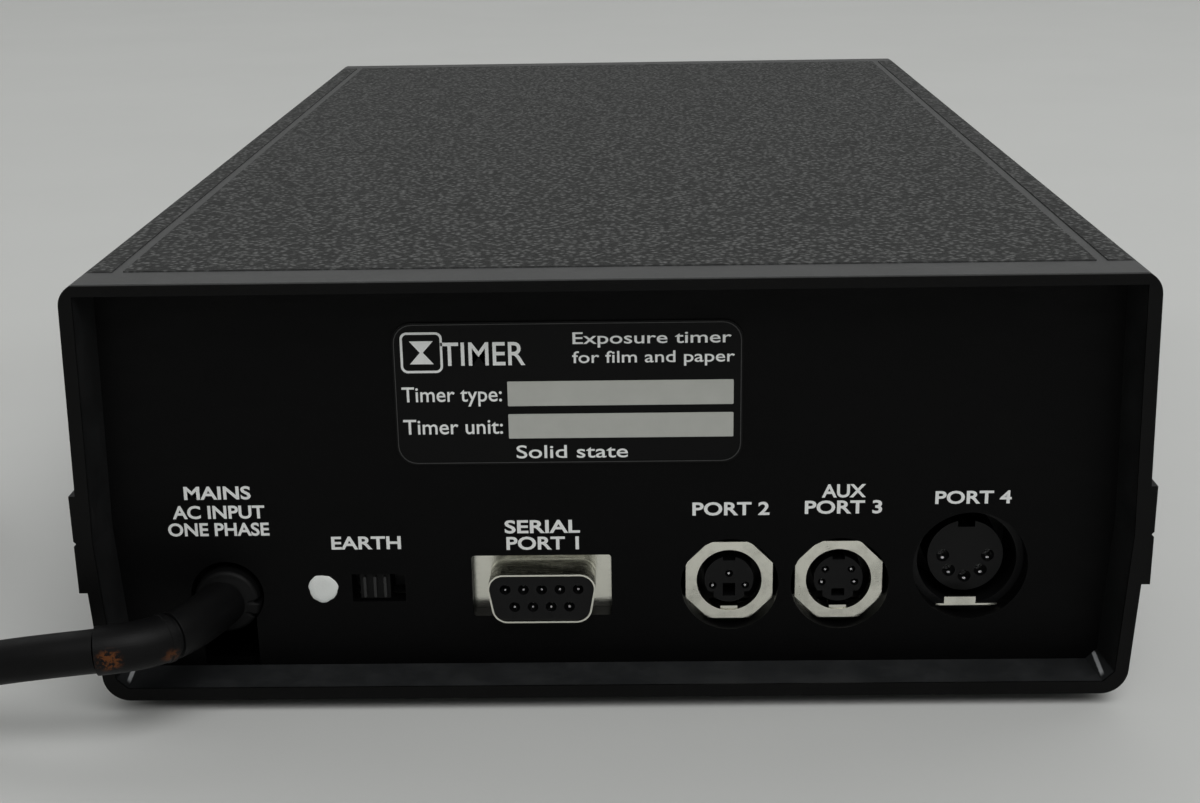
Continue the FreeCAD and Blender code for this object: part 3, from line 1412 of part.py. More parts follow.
def build():
    case_top()
    case_bottom()
    case_fasteners()
    feet()
    rear_panel()
    front_panel()
    rating_plate()
    serial_socket()
    three = [(0, 0.95), (-2.5, -1.0), (2.5, -1.0)]
    mini_socket("shutter_socket", "shutter_x", three, ("(-1.7)", "1.9", "2.1"))
    four = [(-2.0, 1.5), (2.0, 1.5), (-2.5, -0.6), (2.5, -0.6)]
    mini_socket("photo_socket", "photo_x", four, ("(-2.3)", "2.0", "1.2"))
    remote_socket()
    slide_terminals = ground_switch()
    strain_relief()
    mains_cord()
    mains_plug()
    main_board()
    board_fasteners()
    logic_chips()
    relays()
    smoothing_capacitors()
    regulator()
    fuse_and_clips()
    board_connectors()
    transformer()
    display()
    buttons()
    time_control()
    spades = power_switch()
    node("switch_terminals", group(*slide_terminals, *spades))
    mains_leads()
    ribbon_cable()


def check_and_write():
    """Stops on any failed object or bad shape, then writes one STEP file for each sub-part."""
    DOC.recompute()
    for thing in DOC.Objects:
        if "Invalid" in thing.State or "Error" in thing.State:
            raise RuntimeError(f"{thing.Name} ({thing.Label}) is {thing.State}")
    for name, thing in NODES.items():
        if thing.Shape.isNull() or not thing.Shape.isValid() or not thing.Shape.Solids:
            raise RuntimeError(f"{name} has no valid solid")
    os.makedirs("parts", exist_ok=True)
    for old in os.listdir("parts"):
        if old.endswith(".step"):
            os.remove(os.path.join("parts", old))
    for name, thing in NODES.items():
        thing.Shape.exportStep(os.path.join("parts", f"{name}.step"))
    print(len(NODES), "sub-parts written")


build()
check_and_write()
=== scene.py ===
"""An enlarger timer: its finishes, printing, cord and small details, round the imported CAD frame."""
import json
import math

import bmesh
import bpy
from mathutils import Matrix, Vector


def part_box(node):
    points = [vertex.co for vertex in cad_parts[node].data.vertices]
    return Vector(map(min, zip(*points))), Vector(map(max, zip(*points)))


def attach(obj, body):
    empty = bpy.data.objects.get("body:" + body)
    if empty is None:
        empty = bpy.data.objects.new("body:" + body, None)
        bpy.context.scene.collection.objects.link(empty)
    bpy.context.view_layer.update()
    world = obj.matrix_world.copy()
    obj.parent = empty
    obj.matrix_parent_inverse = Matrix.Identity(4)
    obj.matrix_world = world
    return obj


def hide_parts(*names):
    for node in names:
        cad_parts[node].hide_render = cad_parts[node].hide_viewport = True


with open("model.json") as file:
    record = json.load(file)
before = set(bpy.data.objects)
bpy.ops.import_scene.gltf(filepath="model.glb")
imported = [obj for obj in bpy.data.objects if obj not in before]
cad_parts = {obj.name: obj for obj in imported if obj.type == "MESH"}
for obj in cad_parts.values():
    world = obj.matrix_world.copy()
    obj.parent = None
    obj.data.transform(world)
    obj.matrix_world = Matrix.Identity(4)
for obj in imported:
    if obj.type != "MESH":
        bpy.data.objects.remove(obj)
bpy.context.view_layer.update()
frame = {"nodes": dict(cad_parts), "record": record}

# ---------------- named sizes, in metres

MM = 0.001
REAR_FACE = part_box("rear_panel")[1].y
FRONT_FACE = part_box("front_panel")[0].y
CASE_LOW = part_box("case_bottom")[0]
CASE_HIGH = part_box("case_top")[1]
PLATE_LOW, PLATE_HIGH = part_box("rating_plate")

INK_DEEP = 0.05 * MM
TEXT_DEEP = 0.01
TOP_STRIP = 7.2 * MM
DOT_PLACE = (44.3 * MM, 17.1 * MM)
STRIPE_PLACE = 71.0 * MM
STRIPE_HALF = 0.8 * MM
SIDE_START = 77.4 * MM
MOUTH_CORNER = 73.95 * MM
LIP_TOP = CASE_LOW.z + 3.6 * MM

CORD_RADIUS = 3.25 * MM
COLLAR_RADIUS = 5.0 * MM
COLLAR_MOUTH = 3.3 * MM
COLLAR_DROP = 0.55 * MM
SLEEVE_RADIUS = 3.6 * MM

# The collar's middle line, from inside the rear panel's hole and straight out of it.
COLLAR_ROUTE = (
    (0.0591, 0.1222, 0.01605 - COLLAR_DROP),
    (0.0591, 0.1244, 0.01605 - COLLAR_DROP),
    (0.0591, 0.1264, 0.01605 - COLLAR_DROP),
)
# The sleeve's middle line, from inside the collar to its tip.
SLEEVE_ROUTE = (
    (0.0596, 0.1252, 0.01540),
    (0.0604, 0.1286, 0.01540),
    (0.0622, 0.1340, 0.01550),
    (0.0650, 0.1385, 0.01550),
    (0.0693, 0.1413, 0.01540),
    (0.0744, 0.1421, 0.01520),
)
# The cord from the sleeve's tip, down to the table and along it to the coil.
CORD_ROUTE = (
    (0.0744, 0.1421, 0.01520),
    (0.0833, 0.1429, 0.01460),
    (0.0924, 0.1422, 0.01300),
    (0.1013, 0.1400, 0.01020),
    (0.1102, 0.1364, 0.00700),
    (0.1196, 0.1322, 0.00460),
    (0.1300, 0.1292, 0.00340),
    (0.1410, 0.1277, 0.00325),
    (0.1520, 0.1272, 0.00330),
    (0.1620, 0.1265, 0.00325),
)
# The cord from the coil to the plug.
CORD_END_ROUTE = (
    (0.2125, 0.0365, 0.00985),
    (0.2053, 0.0283, 0.0098),
    (0.1984, 0.0186, 0.0105),
    (0.1949, 0.0072, 0.0117),
    (0.1943, -0.0048, 0.0129),
)
COIL_CENTRE = (0.175, 0.074)
COIL_OUTER = 53.0 * MM
COIL_PITCH = 7.3 * MM
COIL_TURNS = 3.2
COIL_START = math.radians(98)
COIL_LOW = 3.25 * MM
COIL_HIGH = 9.85 * MM
POINTS_PER_TURN = 16


# ---------------- camera, lights and backdrop

CAMERA_PLACE = (-0.00345, 0.371235, 0.125059)
CAMERA_TURN = math.pi + 0.019646
CAMERA_DIP = 0.307715
CAMERA_ROLL = -0.016565
CAMERA_LENS = 52.514


def add_object(name, data):
    """Puts new data in the scene as an object."""
    thing = bpy.data.objects.new(name, data)
    bpy.context.scene.collection.objects.link(thing)
    return thing


def make_camera():
    """The camera behind the timer and a little above it."""
    data = bpy.data.cameras.new("camera")
    data.lens = CAMERA_LENS
    data.sensor_width = 36.0
    data.clip_start = 0.01
    camera = add_object("camera", data)
    turn = Matrix.Rotation(CAMERA_TURN, 4, "Z")
    dip = Matrix.Rotation(math.pi / 2 - CAMERA_DIP, 4, "X")
    roll = Matrix.Rotation(CAMERA_ROLL, 4, "Z")
    camera.matrix_world = Matrix.Translation(CAMERA_PLACE) @ turn @ dip @ roll
    bpy.context.scene.camera = camera


def soft_light(name, place, target, width, height, watts):
    """A rectangular soft box at place that faces target."""
    data = bpy.data.lights.new(name, "AREA")
    data.shape = "RECTANGLE"
    data.size = width
    data.size_y = height
    data.energy = watts
    light = add_object(name, data)
    light.location = place
    light.rotation_mode = "QUATERNION"
    light.rotation_quaternion = (Vector(target) - Vector(place)).to_track_quat("-Z", "Y")


def make_world():
    """A pale grey room, brighter over the front of the timer than behind its rear panel."""
    world = bpy.data.worlds.new("room")
    bpy.context.scene.world = world
    world.use_nodes = True
    tree = world.node_tree
    background = tree.nodes["Background"]
    place = tree.nodes.new("ShaderNodeTexCoord")
    split = tree.nodes.new("ShaderNodeSeparateXYZ")
    fade = tree.nodes.new("ShaderNodeMapRange")
    fade.interpolation_type = "SMOOTHSTEP"
    fade.inputs["From Min"].default_value = -0.55
    fade.inputs["From Max"].default_value = 0.35
    fade.inputs["To Min"].default_value = 0.34
    fade.inputs["To Max"].default_value = 0.20
    tree.links.new(place.outputs["Generated"], split.inputs[0])
    tree.links.new(split.outputs["Y"], fade.inputs["Value"])
    tree.links.new(fade.outputs["Result"], background.inputs["Strength"])
    background.inputs["Color"].default_value = (0.98, 1.0, 0.985, 1.0)


def make_backdrop():
    """A wide pale sweep: a floor that the timer stands on, turned up far away on every side."""
    table = bmesh.new()
    profile = ((0.5, 0.0), (1.4, 0.0), (2.2, 0.03), (2.8, 0.16), (3.3, 0.45), (3.6, 0.95), (3.7, 1.6))
    rings = []
    for radius, height in profile:
        rings.append([table.verts.new((x, y, height)) for x, y in circle_outline(radius, 64)])
    join_rings(table, rings, ends=(0,))
    floor = add_object("floor", mesh_of(table, "floor", smooth=True))
    paper = plain_finish("floor_paper", (0.62, 0.625, 0.61), 0.85, mottle=0.03, mottle_size=90)
    floor.data.materials.append(paper)


# ---------------- materials

class Graph:
    """The nodes of one material, with short ways to add what its finish needs."""

    def __init__(self, name):
        self.material = bpy.data.materials.new(name)
        self.material.use_nodes = True
        self.tree = self.material.node_tree
        self.shader = self.tree.nodes["Principled BSDF"]
        self.place = self.add("ShaderNodeTexCoord").outputs["Object"]
        self.across, self.along, self.up = self.add("ShaderNodeSeparateXYZ", {0: self.place}).outputs

    def put(self, socket, value):
        """Links the socket to another one, or sets it."""
        if isinstance(value, bpy.types.NodeSocket):
            self.tree.links.new(value, socket)
        elif isinstance(value, tuple) and len(value) == 3 and len(socket.default_value) == 4:
            socket.default_value = (*value, 1.0)
        else:
            socket.default_value = value

    def add(self, kind, inputs=None, **settings):
        """A node of this kind with its settings and inputs."""
        node = self.tree.nodes.new(kind)
        for key, value in settings.items():
            setattr(node, key, value)
        for key, value in (inputs or {}).items():
            self.put(node.inputs[key], value)
        return node

    def surface(self, **inputs):
        """Sets the shader's sockets: Base_Color is "Base Color"."""
        for key, value in inputs.items():
            self.put(self.shader.inputs[key.replace("_", " ")], value)

    def stretched(self, across=1.0, along=1.0, up=1.0):
        """The place on the object with each axis scaled, for brushed and drawn surfaces."""
        return self.add("ShaderNodeMapping", {"Vector": self.place, "Scale": (across, along, up)}).outputs[0]

    def noise(self, size, detail=3.0, rough=0.55, place=None):
        """Cloudy noise, from 0 to 1, whose blotches are about this many metres wide."""
        inputs = {"Vector": place or self.place, "Scale": 1 / size, "Detail": detail, "Roughness": rough}
        return self.add("ShaderNodeTexNoise", inputs).outputs["Fac"]

    def cells(self, size, smooth, place):
        """The distance to the middle of soft-edged cells that are about this many metres wide."""
        inputs = {"Vector": place, "Scale": 1 / size, "Smoothness": smooth}
        return self.add("ShaderNodeTexVoronoi", inputs, feature="SMOOTH_F1").outputs["Distance"]

    def sum(self, operation, first, second=0.0):
        """One step of arithmetic."""
        return self.add("ShaderNodeMath", {0: first, 1: second}, operation=operation).outputs[0]

    def product(self, first, second):
        """One value times another."""
        return self.sum("MULTIPLY", first, second)

    def remap(self, value, low, high, to_low=0.0, to_high=1.0):
        """Value from low..high to to_low..to_high, held at the ends, with soft shoulders."""
        inputs = {"Value": value, "From Min": low, "From Max": high, "To Min": to_low, "To Max": to_high}
        return self.add("ShaderNodeMapRange", inputs, interpolation_type="SMOOTHSTEP").outputs["Result"]

    def blend(self, share, first, second):
        """Colour from first to second as share goes from 0 to 1."""
        node = self.add("ShaderNodeMix", {"Factor": share}, data_type="RGBA")
        self.put(node.inputs[6], first)
        self.put(node.inputs[7], second)
        return node.outputs[2]

    def band(self, value, low, high, soft):
        """1 between low and high, and 0 outside them."""
        rise = self.remap(value, low - soft, low + soft)
        fall = self.remap(value, high - soft, high + soft, 1.0, 0.0)
        return self.product(rise, fall)

    def near(self, point, radius, soft):
        """1 within radius of a point of the object, and 0 outside it."""
        gap = self.add("ShaderNodeVectorMath", {0: self.place, 1: point}, operation="DISTANCE")
        return self.remap(gap.outputs["Value"], radius - soft, radius + soft, 1.0, 0.0)

    def bump(self, height, deep):
        """A normal from this height, where a height of 1 stands deep metres proud."""
        inputs = {"Height": height, "Distance": deep, "Strength": 1.0}
        return self.add("ShaderNodeBump", inputs).outputs["Normal"]


def shade(colour, factor):
    """The colour made lighter or darker."""
    return tuple(channel * factor for channel in colour)


def plain_finish(name, colour, rough, mottle=0.12, mottle_size=9, grain=0.5, deep=0.012, **sockets):
    """A moulded or painted finish: slow colour variation, handling marks in the gloss, and a fine grain."""
    graph = Graph(name)
    cloud = graph.noise(mottle_size * MM)
    speck = graph.noise(grain * MM, detail=2.0)
    marks = graph.noise(2.2 * mottle_size * MM, detail=5.0, rough=0.65)
    tint = graph.blend(cloud, shade(colour, 1 - mottle), shade(colour, 1 + mottle))
    gloss = graph.remap(marks, 0.3, 0.7, rough - 0.06, min(rough + 0.06, 1.0))
    graph.surface(Base_Color=tint, Roughness=gloss, Normal=graph.bump(speck, deep * MM), **sockets)
    return graph.material


def metal_finish(name, colour, rough, brushed=(1.0, 1.0, 1.0), deep=0.006):
    """Plated or drawn metal: fine brush lines, dull patches and slight tarnish."""
    graph = Graph(name)
    lines = graph.noise(0.35 * MM, detail=3.0, place=graph.stretched(*brushed))
    patches = graph.noise(3.5 * MM, detail=5.0, rough=0.6)
    dull = graph.remap(patches, 0.42, 0.72)
    tint = graph.blend(dull, colour, shade(colour, 0.75))
    brush = graph.remap(lines, 0.3, 0.7, rough - 0.05, rough + 0.05)
    gloss = graph.sum("ADD", brush, graph.product(dull, 0.12))
    graph.surface(Base_Color=tint, Roughness=gloss, Metallic=1.0, Normal=graph.bump(lines, deep * MM))
    return graph.material


def shell_finish():
    """The D-shaped socket's tinned shell: a bright flange and lip, with a barrel between darkened by streaky
    stains and painted shade.
    """
    low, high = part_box("serial_shell")
    graph = Graph("shell_metal")
    lines = graph.noise(0.3 * MM, place=graph.stretched(0.12, 1.0, 1.0))
    barrel_streaks = graph.noise(1.6 * MM, detail=5.0, rough=0.65, place=graph.stretched(0.35, 1.0, 1.0))
    barrel = graph.band(graph.along, low.y + 0.85 * MM, high.y - 0.35 * MM, 0.2 * MM)
    # Stains and painted shade: the barrel between flange and lip is darkened, in streaks, to stand in for the
    # dark it shows there.
    stain_and_shade = graph.product(barrel, graph.remap(barrel_streaks, 0.3, 0.6, 0.35, 1.0))
    tint = graph.blend(stain_and_shade, (0.86, 0.85, 0.76), (0.17, 0.165, 0.13))
    brush = graph.remap(lines, 0.3, 0.7, 0.14, 0.24)
    gloss = graph.sum("ADD", brush, graph.product(stain_and_shade, 0.1))
    graph.surface(Base_Color=tint, Roughness=gloss, Metallic=1.0, Normal=graph.bump(lines, 0.006 * MM))
    return graph.material


def case_finish():
    """Black leather-grained plastic, smooth on the strips, rims and inside, with light and shade painted into
    its tones: dust and painted sheen on the grained top, painted sheen on the smooth top strips, painted
    shade on the outer rims, painted light on the mouth's lower lip and painted highlights along its inner
    lower corners.
    """
    graph = Graph("case_plastic")
    wander = graph.add("ShaderNodeTexNoise", {"Vector": graph.place, "Scale": 1 / (1.1 * MM), "Detail": 2.0})
    nudge = graph.add("ShaderNodeVectorMath", {0: wander.outputs["Color"], 3: 0.55 * MM}, operation="SCALE")
    bent = graph.add("ShaderNodeVectorMath", {0: graph.place, 1: nudge.outputs[0]}, operation="ADD")
    pebble = graph.cells(0.95 * MM, 0.35, bent.outputs[0])
    fine = graph.noise(0.42 * MM, detail=3.0, rough=0.6)
    heap = graph.sum("SUBTRACT", 1.0, graph.product(pebble, 1.3))
    skin = graph.sum("ADD", graph.product(heap, 0.75), graph.product(fine, 0.35))

    aside = graph.sum("ABSOLUTE", graph.across)
    on_top = graph.remap(graph.up, CASE_HIGH.z - 3.4 * MM, CASE_HIGH.z - 2.6 * MM)
    on_side = graph.remap(aside, SIDE_START - 0.3 * MM, SIDE_START)
    under = graph.remap(graph.up, CASE_LOW.z + 0.3 * MM, CASE_LOW.z + 0.6 * MM, 1.0, 0.0)
    outside = graph.sum("MAXIMUM", graph.sum("MAXIMUM", on_top, on_side), under)
    between = graph.band(graph.along, CASE_LOW.y + TOP_STRIP, CASE_HIGH.y - TOP_STRIP, 0.06 * MM)
    stripe = graph.band(aside, STRIPE_PLACE - STRIPE_HALF, STRIPE_PLACE + STRIPE_HALF, 0.06 * MM)
    bare_stripe = graph.sum("SUBTRACT", 1.0, graph.product(stripe, on_top))
    grained = graph.product(graph.product(outside, between), bare_stripe)

    cloud = graph.noise(38 * MM, detail=4.0, rough=0.6)
    patch_marks = graph.noise(6 * MM, detail=5.0, rough=0.7)
    base = graph.blend(cloud, (0.0042, 0.0043, 0.0043), (0.0062, 0.0062, 0.0061))
    crest = graph.remap(skin, 0.35, 0.95)
    rough_tint = graph.blend(graph.product(crest, 0.4), base, (0.020, 0.021, 0.020))
    rubbed = graph.remap(patch_marks, 0.35, 0.75)
    # The smooth plastic takes a tone for each kind of face, after how the light falls there: painted shade on
    # the outer rims, and a middle tone on the walls inside the mouth.
    rim_painted_shade = graph.blend(rubbed, (0.0008, 0.0008, 0.0008), (0.0018, 0.0018, 0.0018))
    # Painted sheen on the smooth strips of the flat top, far lighter than the black around them.
    strip_painted_sheen = graph.blend(rubbed, (0.076, 0.077, 0.077), (0.092, 0.093, 0.093))
    wall_tint = graph.blend(rubbed, (0.0100, 0.0102, 0.0104), (0.0150, 0.0153, 0.0155))
    on_flat = graph.remap(graph.up, CASE_HIGH.z - 0.5 * MM, CASE_HIGH.z - 0.3 * MM)
    inside_mouth = graph.band(graph.along, REAR_FACE - 0.2 * MM, CASE_HIGH.y - 0.25 * MM, 0.1 * MM)
    lip_band = graph.band(graph.up, CASE_LOW.z + 0.8 * MM, LIP_TOP, 0.2 * MM)
    low_lip = graph.product(inside_mouth, lip_band)
    # Painted light on the mouth's lower lip, which faces up.
    lip_painted_light = graph.blend(rubbed, (0.0165, 0.0175, 0.0182), (0.0260, 0.0272, 0.0280))
    mouth_tint = graph.blend(low_lip, graph.blend(inside_mouth, rim_painted_shade, wall_tint), lip_painted_light)
    # Painted highlights along both inner lower corners of the mouth.
    corner_glint = graph.band(aside, MOUTH_CORNER - 0.22 * MM, MOUTH_CORNER + 0.22 * MM, 0.08 * MM)
    corner_glint = graph.product(corner_glint, graph.band(graph.along, REAR_FACE, CASE_HIGH.y - 1.6 * MM, 0.6 * MM))
    corner_glint = graph.product(corner_glint, graph.band(graph.up, CASE_LOW.z + 1.8 * MM, LIP_TOP, 0.1 * MM))
    mouth_tint = graph.blend(corner_glint, mouth_tint, (0.42, 0.43, 0.44))
    smooth_tint = graph.blend(on_flat, mouth_tint, strip_painted_sheen)
    # The grained top is lighter than the sides and palest on its crests: dust, and a painted sheen of the
    # light that falls on the top.
    dust = graph.blend(crest, (0.022, 0.0225, 0.0222), (0.150, 0.152, 0.150))
    top_dust_and_sheen = graph.blend(on_top, rough_tint, dust)
    tint = graph.blend(grained, smooth_tint, top_dust_and_sheen)
    smooth_gloss = graph.remap(patch_marks, 0.3, 0.75, 0.40, 0.52)
    gloss = graph.sum("ADD", smooth_gloss, graph.product(grained, 0.10))
    height = graph.product(skin, grained)
    satin = graph.product(graph.noise(0.30 * MM, detail=2.0), 0.04)
    normal = graph.bump(graph.sum("ADD", height, satin), 0.26 * MM)
    graph.surface(Base_Color=tint, Roughness=gloss, Normal=normal, Specular_IOR_Level=0.13)
    return graph.material


def panel_finish():
    """Black enamel on the panels, with a fine texture, faint dust and a few rubbed marks."""
    graph = Graph("panel_plastic")
    speck = graph.noise(0.28 * MM, detail=2.0)
    cloud = graph.noise(17 * MM, detail=4.0, rough=0.6)
    dust = graph.remap(graph.noise(0.8 * MM, detail=1.0), 0.78, 0.86, 0.0, 0.5)
    base = graph.blend(cloud, (0.0011, 0.0011, 0.0012), (0.0019, 0.0019, 0.0020))
    tint = graph.blend(dust, base, (0.010, 0.010, 0.0095))
    rub = graph.noise(5 * MM, detail=5.0, rough=0.7, place=graph.stretched(0.5, 1.0, 1.8))
    gloss = graph.remap(rub, 0.35, 0.72, 0.50, 0.38)
    normal = graph.bump(speck, 0.016 * MM)
    graph.surface(Base_Color=tint, Roughness=gloss, Normal=normal, Specular_IOR_Level=0.08)
    return graph.material


def plate_finish():
    """The rating plate's satin black foil, with a fine brushed line and small scratches."""
    graph = Graph("plate_foil")
    lines = graph.noise(0.3 * MM, detail=2.0, place=graph.stretched(0.12, 1.0, 2.0))
    scratch = graph.remap(graph.noise(1.6 * MM, detail=6.0, rough=0.8), 0.66, 0.74)
    tint = graph.blend(scratch, (0.0014, 0.0014, 0.0015), (0.006, 0.006, 0.006))
    gloss = graph.remap(lines, 0.3, 0.7, 0.30, 0.42)
    normal = graph.bump(lines, 0.006 * MM)
    graph.surface(Base_Color=tint, Roughness=gloss, Normal=normal, Specular_IOR_Level=0.12)
    return graph.material


def cord_finish(name, patch_marks=()):
    """Matt black vinyl with dust in its pores, and ragged orange patches at the given points."""
    graph = Graph(name)
    pores = graph.noise(0.5 * MM, detail=4.0, rough=0.7)
    smears = graph.noise(11 * MM, detail=4.0, rough=0.6, place=graph.stretched(1.0, 1.0, 1.6))
    black = (0.0020, 0.0020, 0.0021)
    tint = graph.blend(graph.remap(smears, 0.3, 0.72), black, shade(black, 1.9))
    flaw = graph.noise(0.9 * MM, detail=4.0, rough=0.75)
    for point, radius in patch_marks:
        patch = graph.near(point, radius, 0.7 * MM)
        ragged = graph.product(patch, graph.remap(flaw, 0.44, 0.56))
        tint = graph.blend(ragged, tint, (0.105, 0.034, 0.0085))
    gloss = graph.remap(smears, 0.3, 0.7, 0.58, 0.44)
    normal = graph.bump(pores, 0.03 * MM)
    graph.surface(Base_Color=tint, Roughness=gloss, Normal=normal, Specular_IOR_Level=0.14)
    return graph.material


def board_finish():
    """Green solder resist over copper tracks, with the glass weave showing faintly."""
    graph = Graph("board_laminate")
    bricks = {"Vector": graph.place, "Scale": 260.0, "Mortar Size": 0.03}
    track = graph.add("ShaderNodeTexBrick", bricks).outputs["Fac"]
    weave = graph.noise(0.4 * MM, detail=1.0, place=graph.stretched(1.0, 0.3, 1.0))
    tint = graph.blend(track, (0.010, 0.020, 0.009), (0.022, 0.036, 0.017))
    gloss = graph.remap(weave, 0.3, 0.7, 0.28, 0.36)
    graph.surface(Base_Color=tint, Roughness=gloss, Normal=graph.bump(track, 0.03 * MM))
    return graph.material


def glass_finish(name, colour, through):
    """Clear or tinted glass or acrylic, with faint wipe marks."""
    graph = Graph(name)
    wipes = graph.noise(7 * MM, detail=5.0, rough=0.7, place=graph.stretched(0.5, 1.0, 1.0))
    tint = graph.blend(wipes, shade(colour, 0.92), colour)
    gloss = graph.remap(wipes, 0.4, 0.75, 0.06, 0.14)
    graph.surface(Base_Color=tint, Roughness=gloss, Transmission_Weight=through, IOR=1.49)
    return graph.material


def lamp_finish(name, colour, strength):
    """A lit segment, a little uneven across its face."""
    graph = Graph(name)
    uneven = graph.noise(1.1 * MM, detail=2.0)
    tint = graph.blend(uneven, shade(colour, 0.8), colour)
    graph.surface(Base_Color=tint, Roughness=0.4, Emission_Color=tint, Emission_Strength=strength)
    return graph.material


# Ragged orange patches on the strain relief: the middle point and radius of each.
ORANGE_PATCHES = (
    ((0.0632, 0.1423, 0.0135), 1.5 * MM),
    ((0.0717, 0.1455, 0.0150), 1.7 * MM),
)

# The record's material slots with a moulded or painted finish.
PLAIN_SLOTS = {
    "foot_rubber": dict(colour=(0.012, 0.012, 0.012), rough=0.8, deep=0.04),
    "plug_vinyl": dict(colour=(0.005, 0.005, 0.0052), rough=0.45, deep=0.02, Specular_IOR_Level=0.3),
    "socket_plastic": dict(
        colour=(0.0036, 0.0036, 0.0039), rough=0.42, mottle_size=4, Specular_IOR_Level=0.2,
    ),
    "slider_plastic": dict(
        colour=(0.0025, 0.0025, 0.0026), rough=0.4, mottle_size=3, Specular_IOR_Level=0.15,
    ),
    "chip_plastic": dict(colour=(0.012, 0.012, 0.013), rough=0.55, mottle_size=4),
    "relay_plastic": dict(colour=(0.03, 0.07, 0.20), rough=0.3),
    "can_metal": dict(colour=(0.02, 0.035, 0.12), rough=0.32),
    "header_plastic": dict(colour=(0.05, 0.05, 0.053), rough=0.5, mottle_size=4),
    "winding_tape": dict(colour=(0.48, 0.33, 0.06), rough=0.35, mottle=0.2),
    "digit_plastic": dict(colour=(0.020, 0.012, 0.012), rough=0.3, mottle_size=5),
    "switch_plastic": dict(colour=(0.010, 0.010, 0.0105), rough=0.42, mottle_size=5),
    "button_grey": dict(colour=(0.22, 0.22, 0.215), rough=0.42, mottle=0.08, mottle_size=4),
    "button_green": dict(colour=(0.02, 0.17, 0.05), rough=0.40, mottle=0.1, mottle_size=4),
    "button_red": dict(colour=(0.36, 0.014, 0.012), rough=0.40, mottle=0.1, mottle_size=4),
    "knob_plastic": dict(colour=(0.008, 0.008, 0.0085), rough=0.38, mottle_size=5),
    "rocker_plastic": dict(colour=(0.009, 0.009, 0.0092), rough=0.22, mottle_size=6),
    "wire_vinyl": dict(colour=(0.05, 0.05, 0.05), rough=0.35),
    "ribbon_vinyl": dict(colour=(0.30, 0.30, 0.31), rough=0.45),
}
# The record's material slots in metal.
METAL_SLOTS = {
    "pin_brass": dict(colour=(0.62, 0.49, 0.24), rough=0.26, brushed=(1.0, 0.1, 1.0)),
    "screw_steel": dict(colour=(0.42, 0.42, 0.42), rough=0.32),
    "socket_metal": dict(colour=(0.86, 0.85, 0.76), rough=0.16, brushed=(0.15, 1.0, 1.0)),
    "contact_metal": dict(colour=(0.62, 0.62, 0.62), rough=0.20),
    "clip_metal": dict(colour=(0.07, 0.07, 0.07), rough=0.40),
    "core_steel": dict(colour=(0.16, 0.15, 0.14), rough=0.45, brushed=(1.0, 0.08, 1.0), deep=0.05),
    "strap_steel": dict(colour=(0.45, 0.45, 0.44), rough=0.32, brushed=(1.0, 0.12, 1.0)),
    "sink_metal": dict(colour=(0.04, 0.04, 0.042), rough=0.4),
    "pot_metal": dict(colour=(0.50, 0.50, 0.49), rough=0.34),
    "cap_metal": dict(colour=(0.60, 0.60, 0.59), rough=0.28),
}


def slot_materials():
    """One material for each slot of the record."""
    made = {
        "case_plastic": case_finish(),
        "panel_plastic": panel_finish(),
        "plate_foil": plate_finish(),
        "cord_vinyl": cord_finish("cord_vinyl"),
        "relief_rubber": cord_finish("relief_rubber", patch_marks=ORANGE_PATCHES),
        "board_laminate": board_finish(),
        "fuse_glass": glass_finish("fuse_glass", (0.85, 0.87, 0.86), 0.9),
        "window_glass": glass_finish("window_glass", (0.42, 0.012, 0.010), 0.85),
    }
    for name, values in PLAIN_SLOTS.items():
        made[name] = plain_finish(name, **values)
    for name, values in METAL_SLOTS.items():
        made[name] = metal_finish(name, **values)
    return made


def dress_nodes(materials):
    """Gives every CAD node the material of its slot."""
    for row in frame["record"]["subparts"]:
        node = frame["nodes"][row["node"]]
        node.material_slots[0].material = materials[row["material_slot"]]


# ---------------- meshes

def add_piece(name, mesh, material, body="case"):
    """Puts a mesh in the scene as a piece that rides on a body."""
    mesh.materials.clear()
    mesh.materials.append(material)
    piece = add_object(name, mesh)
    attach(piece, body)
    return piece


def mesh_of(shape, name, smooth=False):
    """A mesh from a bmesh, with its faces turned outward."""
    bmesh.ops.recalc_face_normals(shape, faces=shape.faces)
    for face in shape.faces:
        face.smooth = smooth
    mesh = bpy.data.meshes.new(name)
    shape.to_mesh(mesh)
    shape.free()
    return mesh


def rear_print(place, face=REAR_FACE):
    """The matrix that lays flat work drawn in X and Y on a face at the rear, at an (x, z) place."""
    return Matrix(((-1, 0, 0, place[0]), (0, 0, 1, face), (0, 1, 0, place[1]), (0, 0, 0, 1)))


def front_print(place, face=FRONT_FACE):
    """The matrix that lays flat work drawn in X and Y on a face at the front, at an (x, z) place."""
    return Matrix(((1, 0, 0, place[0]), (0, 0, -1, face), (0, 1, 0, place[1]), (0, 0, 0, 1)))


def middle_of(node):
    """The (x, z) middle of a CAD node's box."""
    low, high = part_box(node)
    return (low.x + high.x) / 2, (low.z + high.z) / 2


def curve_mesh(curve):
    """The mesh of a curve or of lettering."""
    holder = add_object(curve.name, curve)
    bpy.context.view_layer.update()
    mesh = bpy.data.meshes.new_from_object(holder)
    bpy.data.objects.remove(holder)
    return mesh


def text_mesh(name, words, heavy):
    """Flat lettering as a mesh, one unit high in its capitals, centred, with its foot on the X axis."""
    capital = 0.729
    curve = bpy.data.curves.new(name, "FONT")
    curve.body = words
    curve.size = 1 / capital
    curve.align_x = "CENTER"
    curve.offset = heavy
    curve.extrude = TEXT_DEEP
    curve.resolution_u = 4
    mesh = curve_mesh(curve)
    mesh.name = name
    return mesh


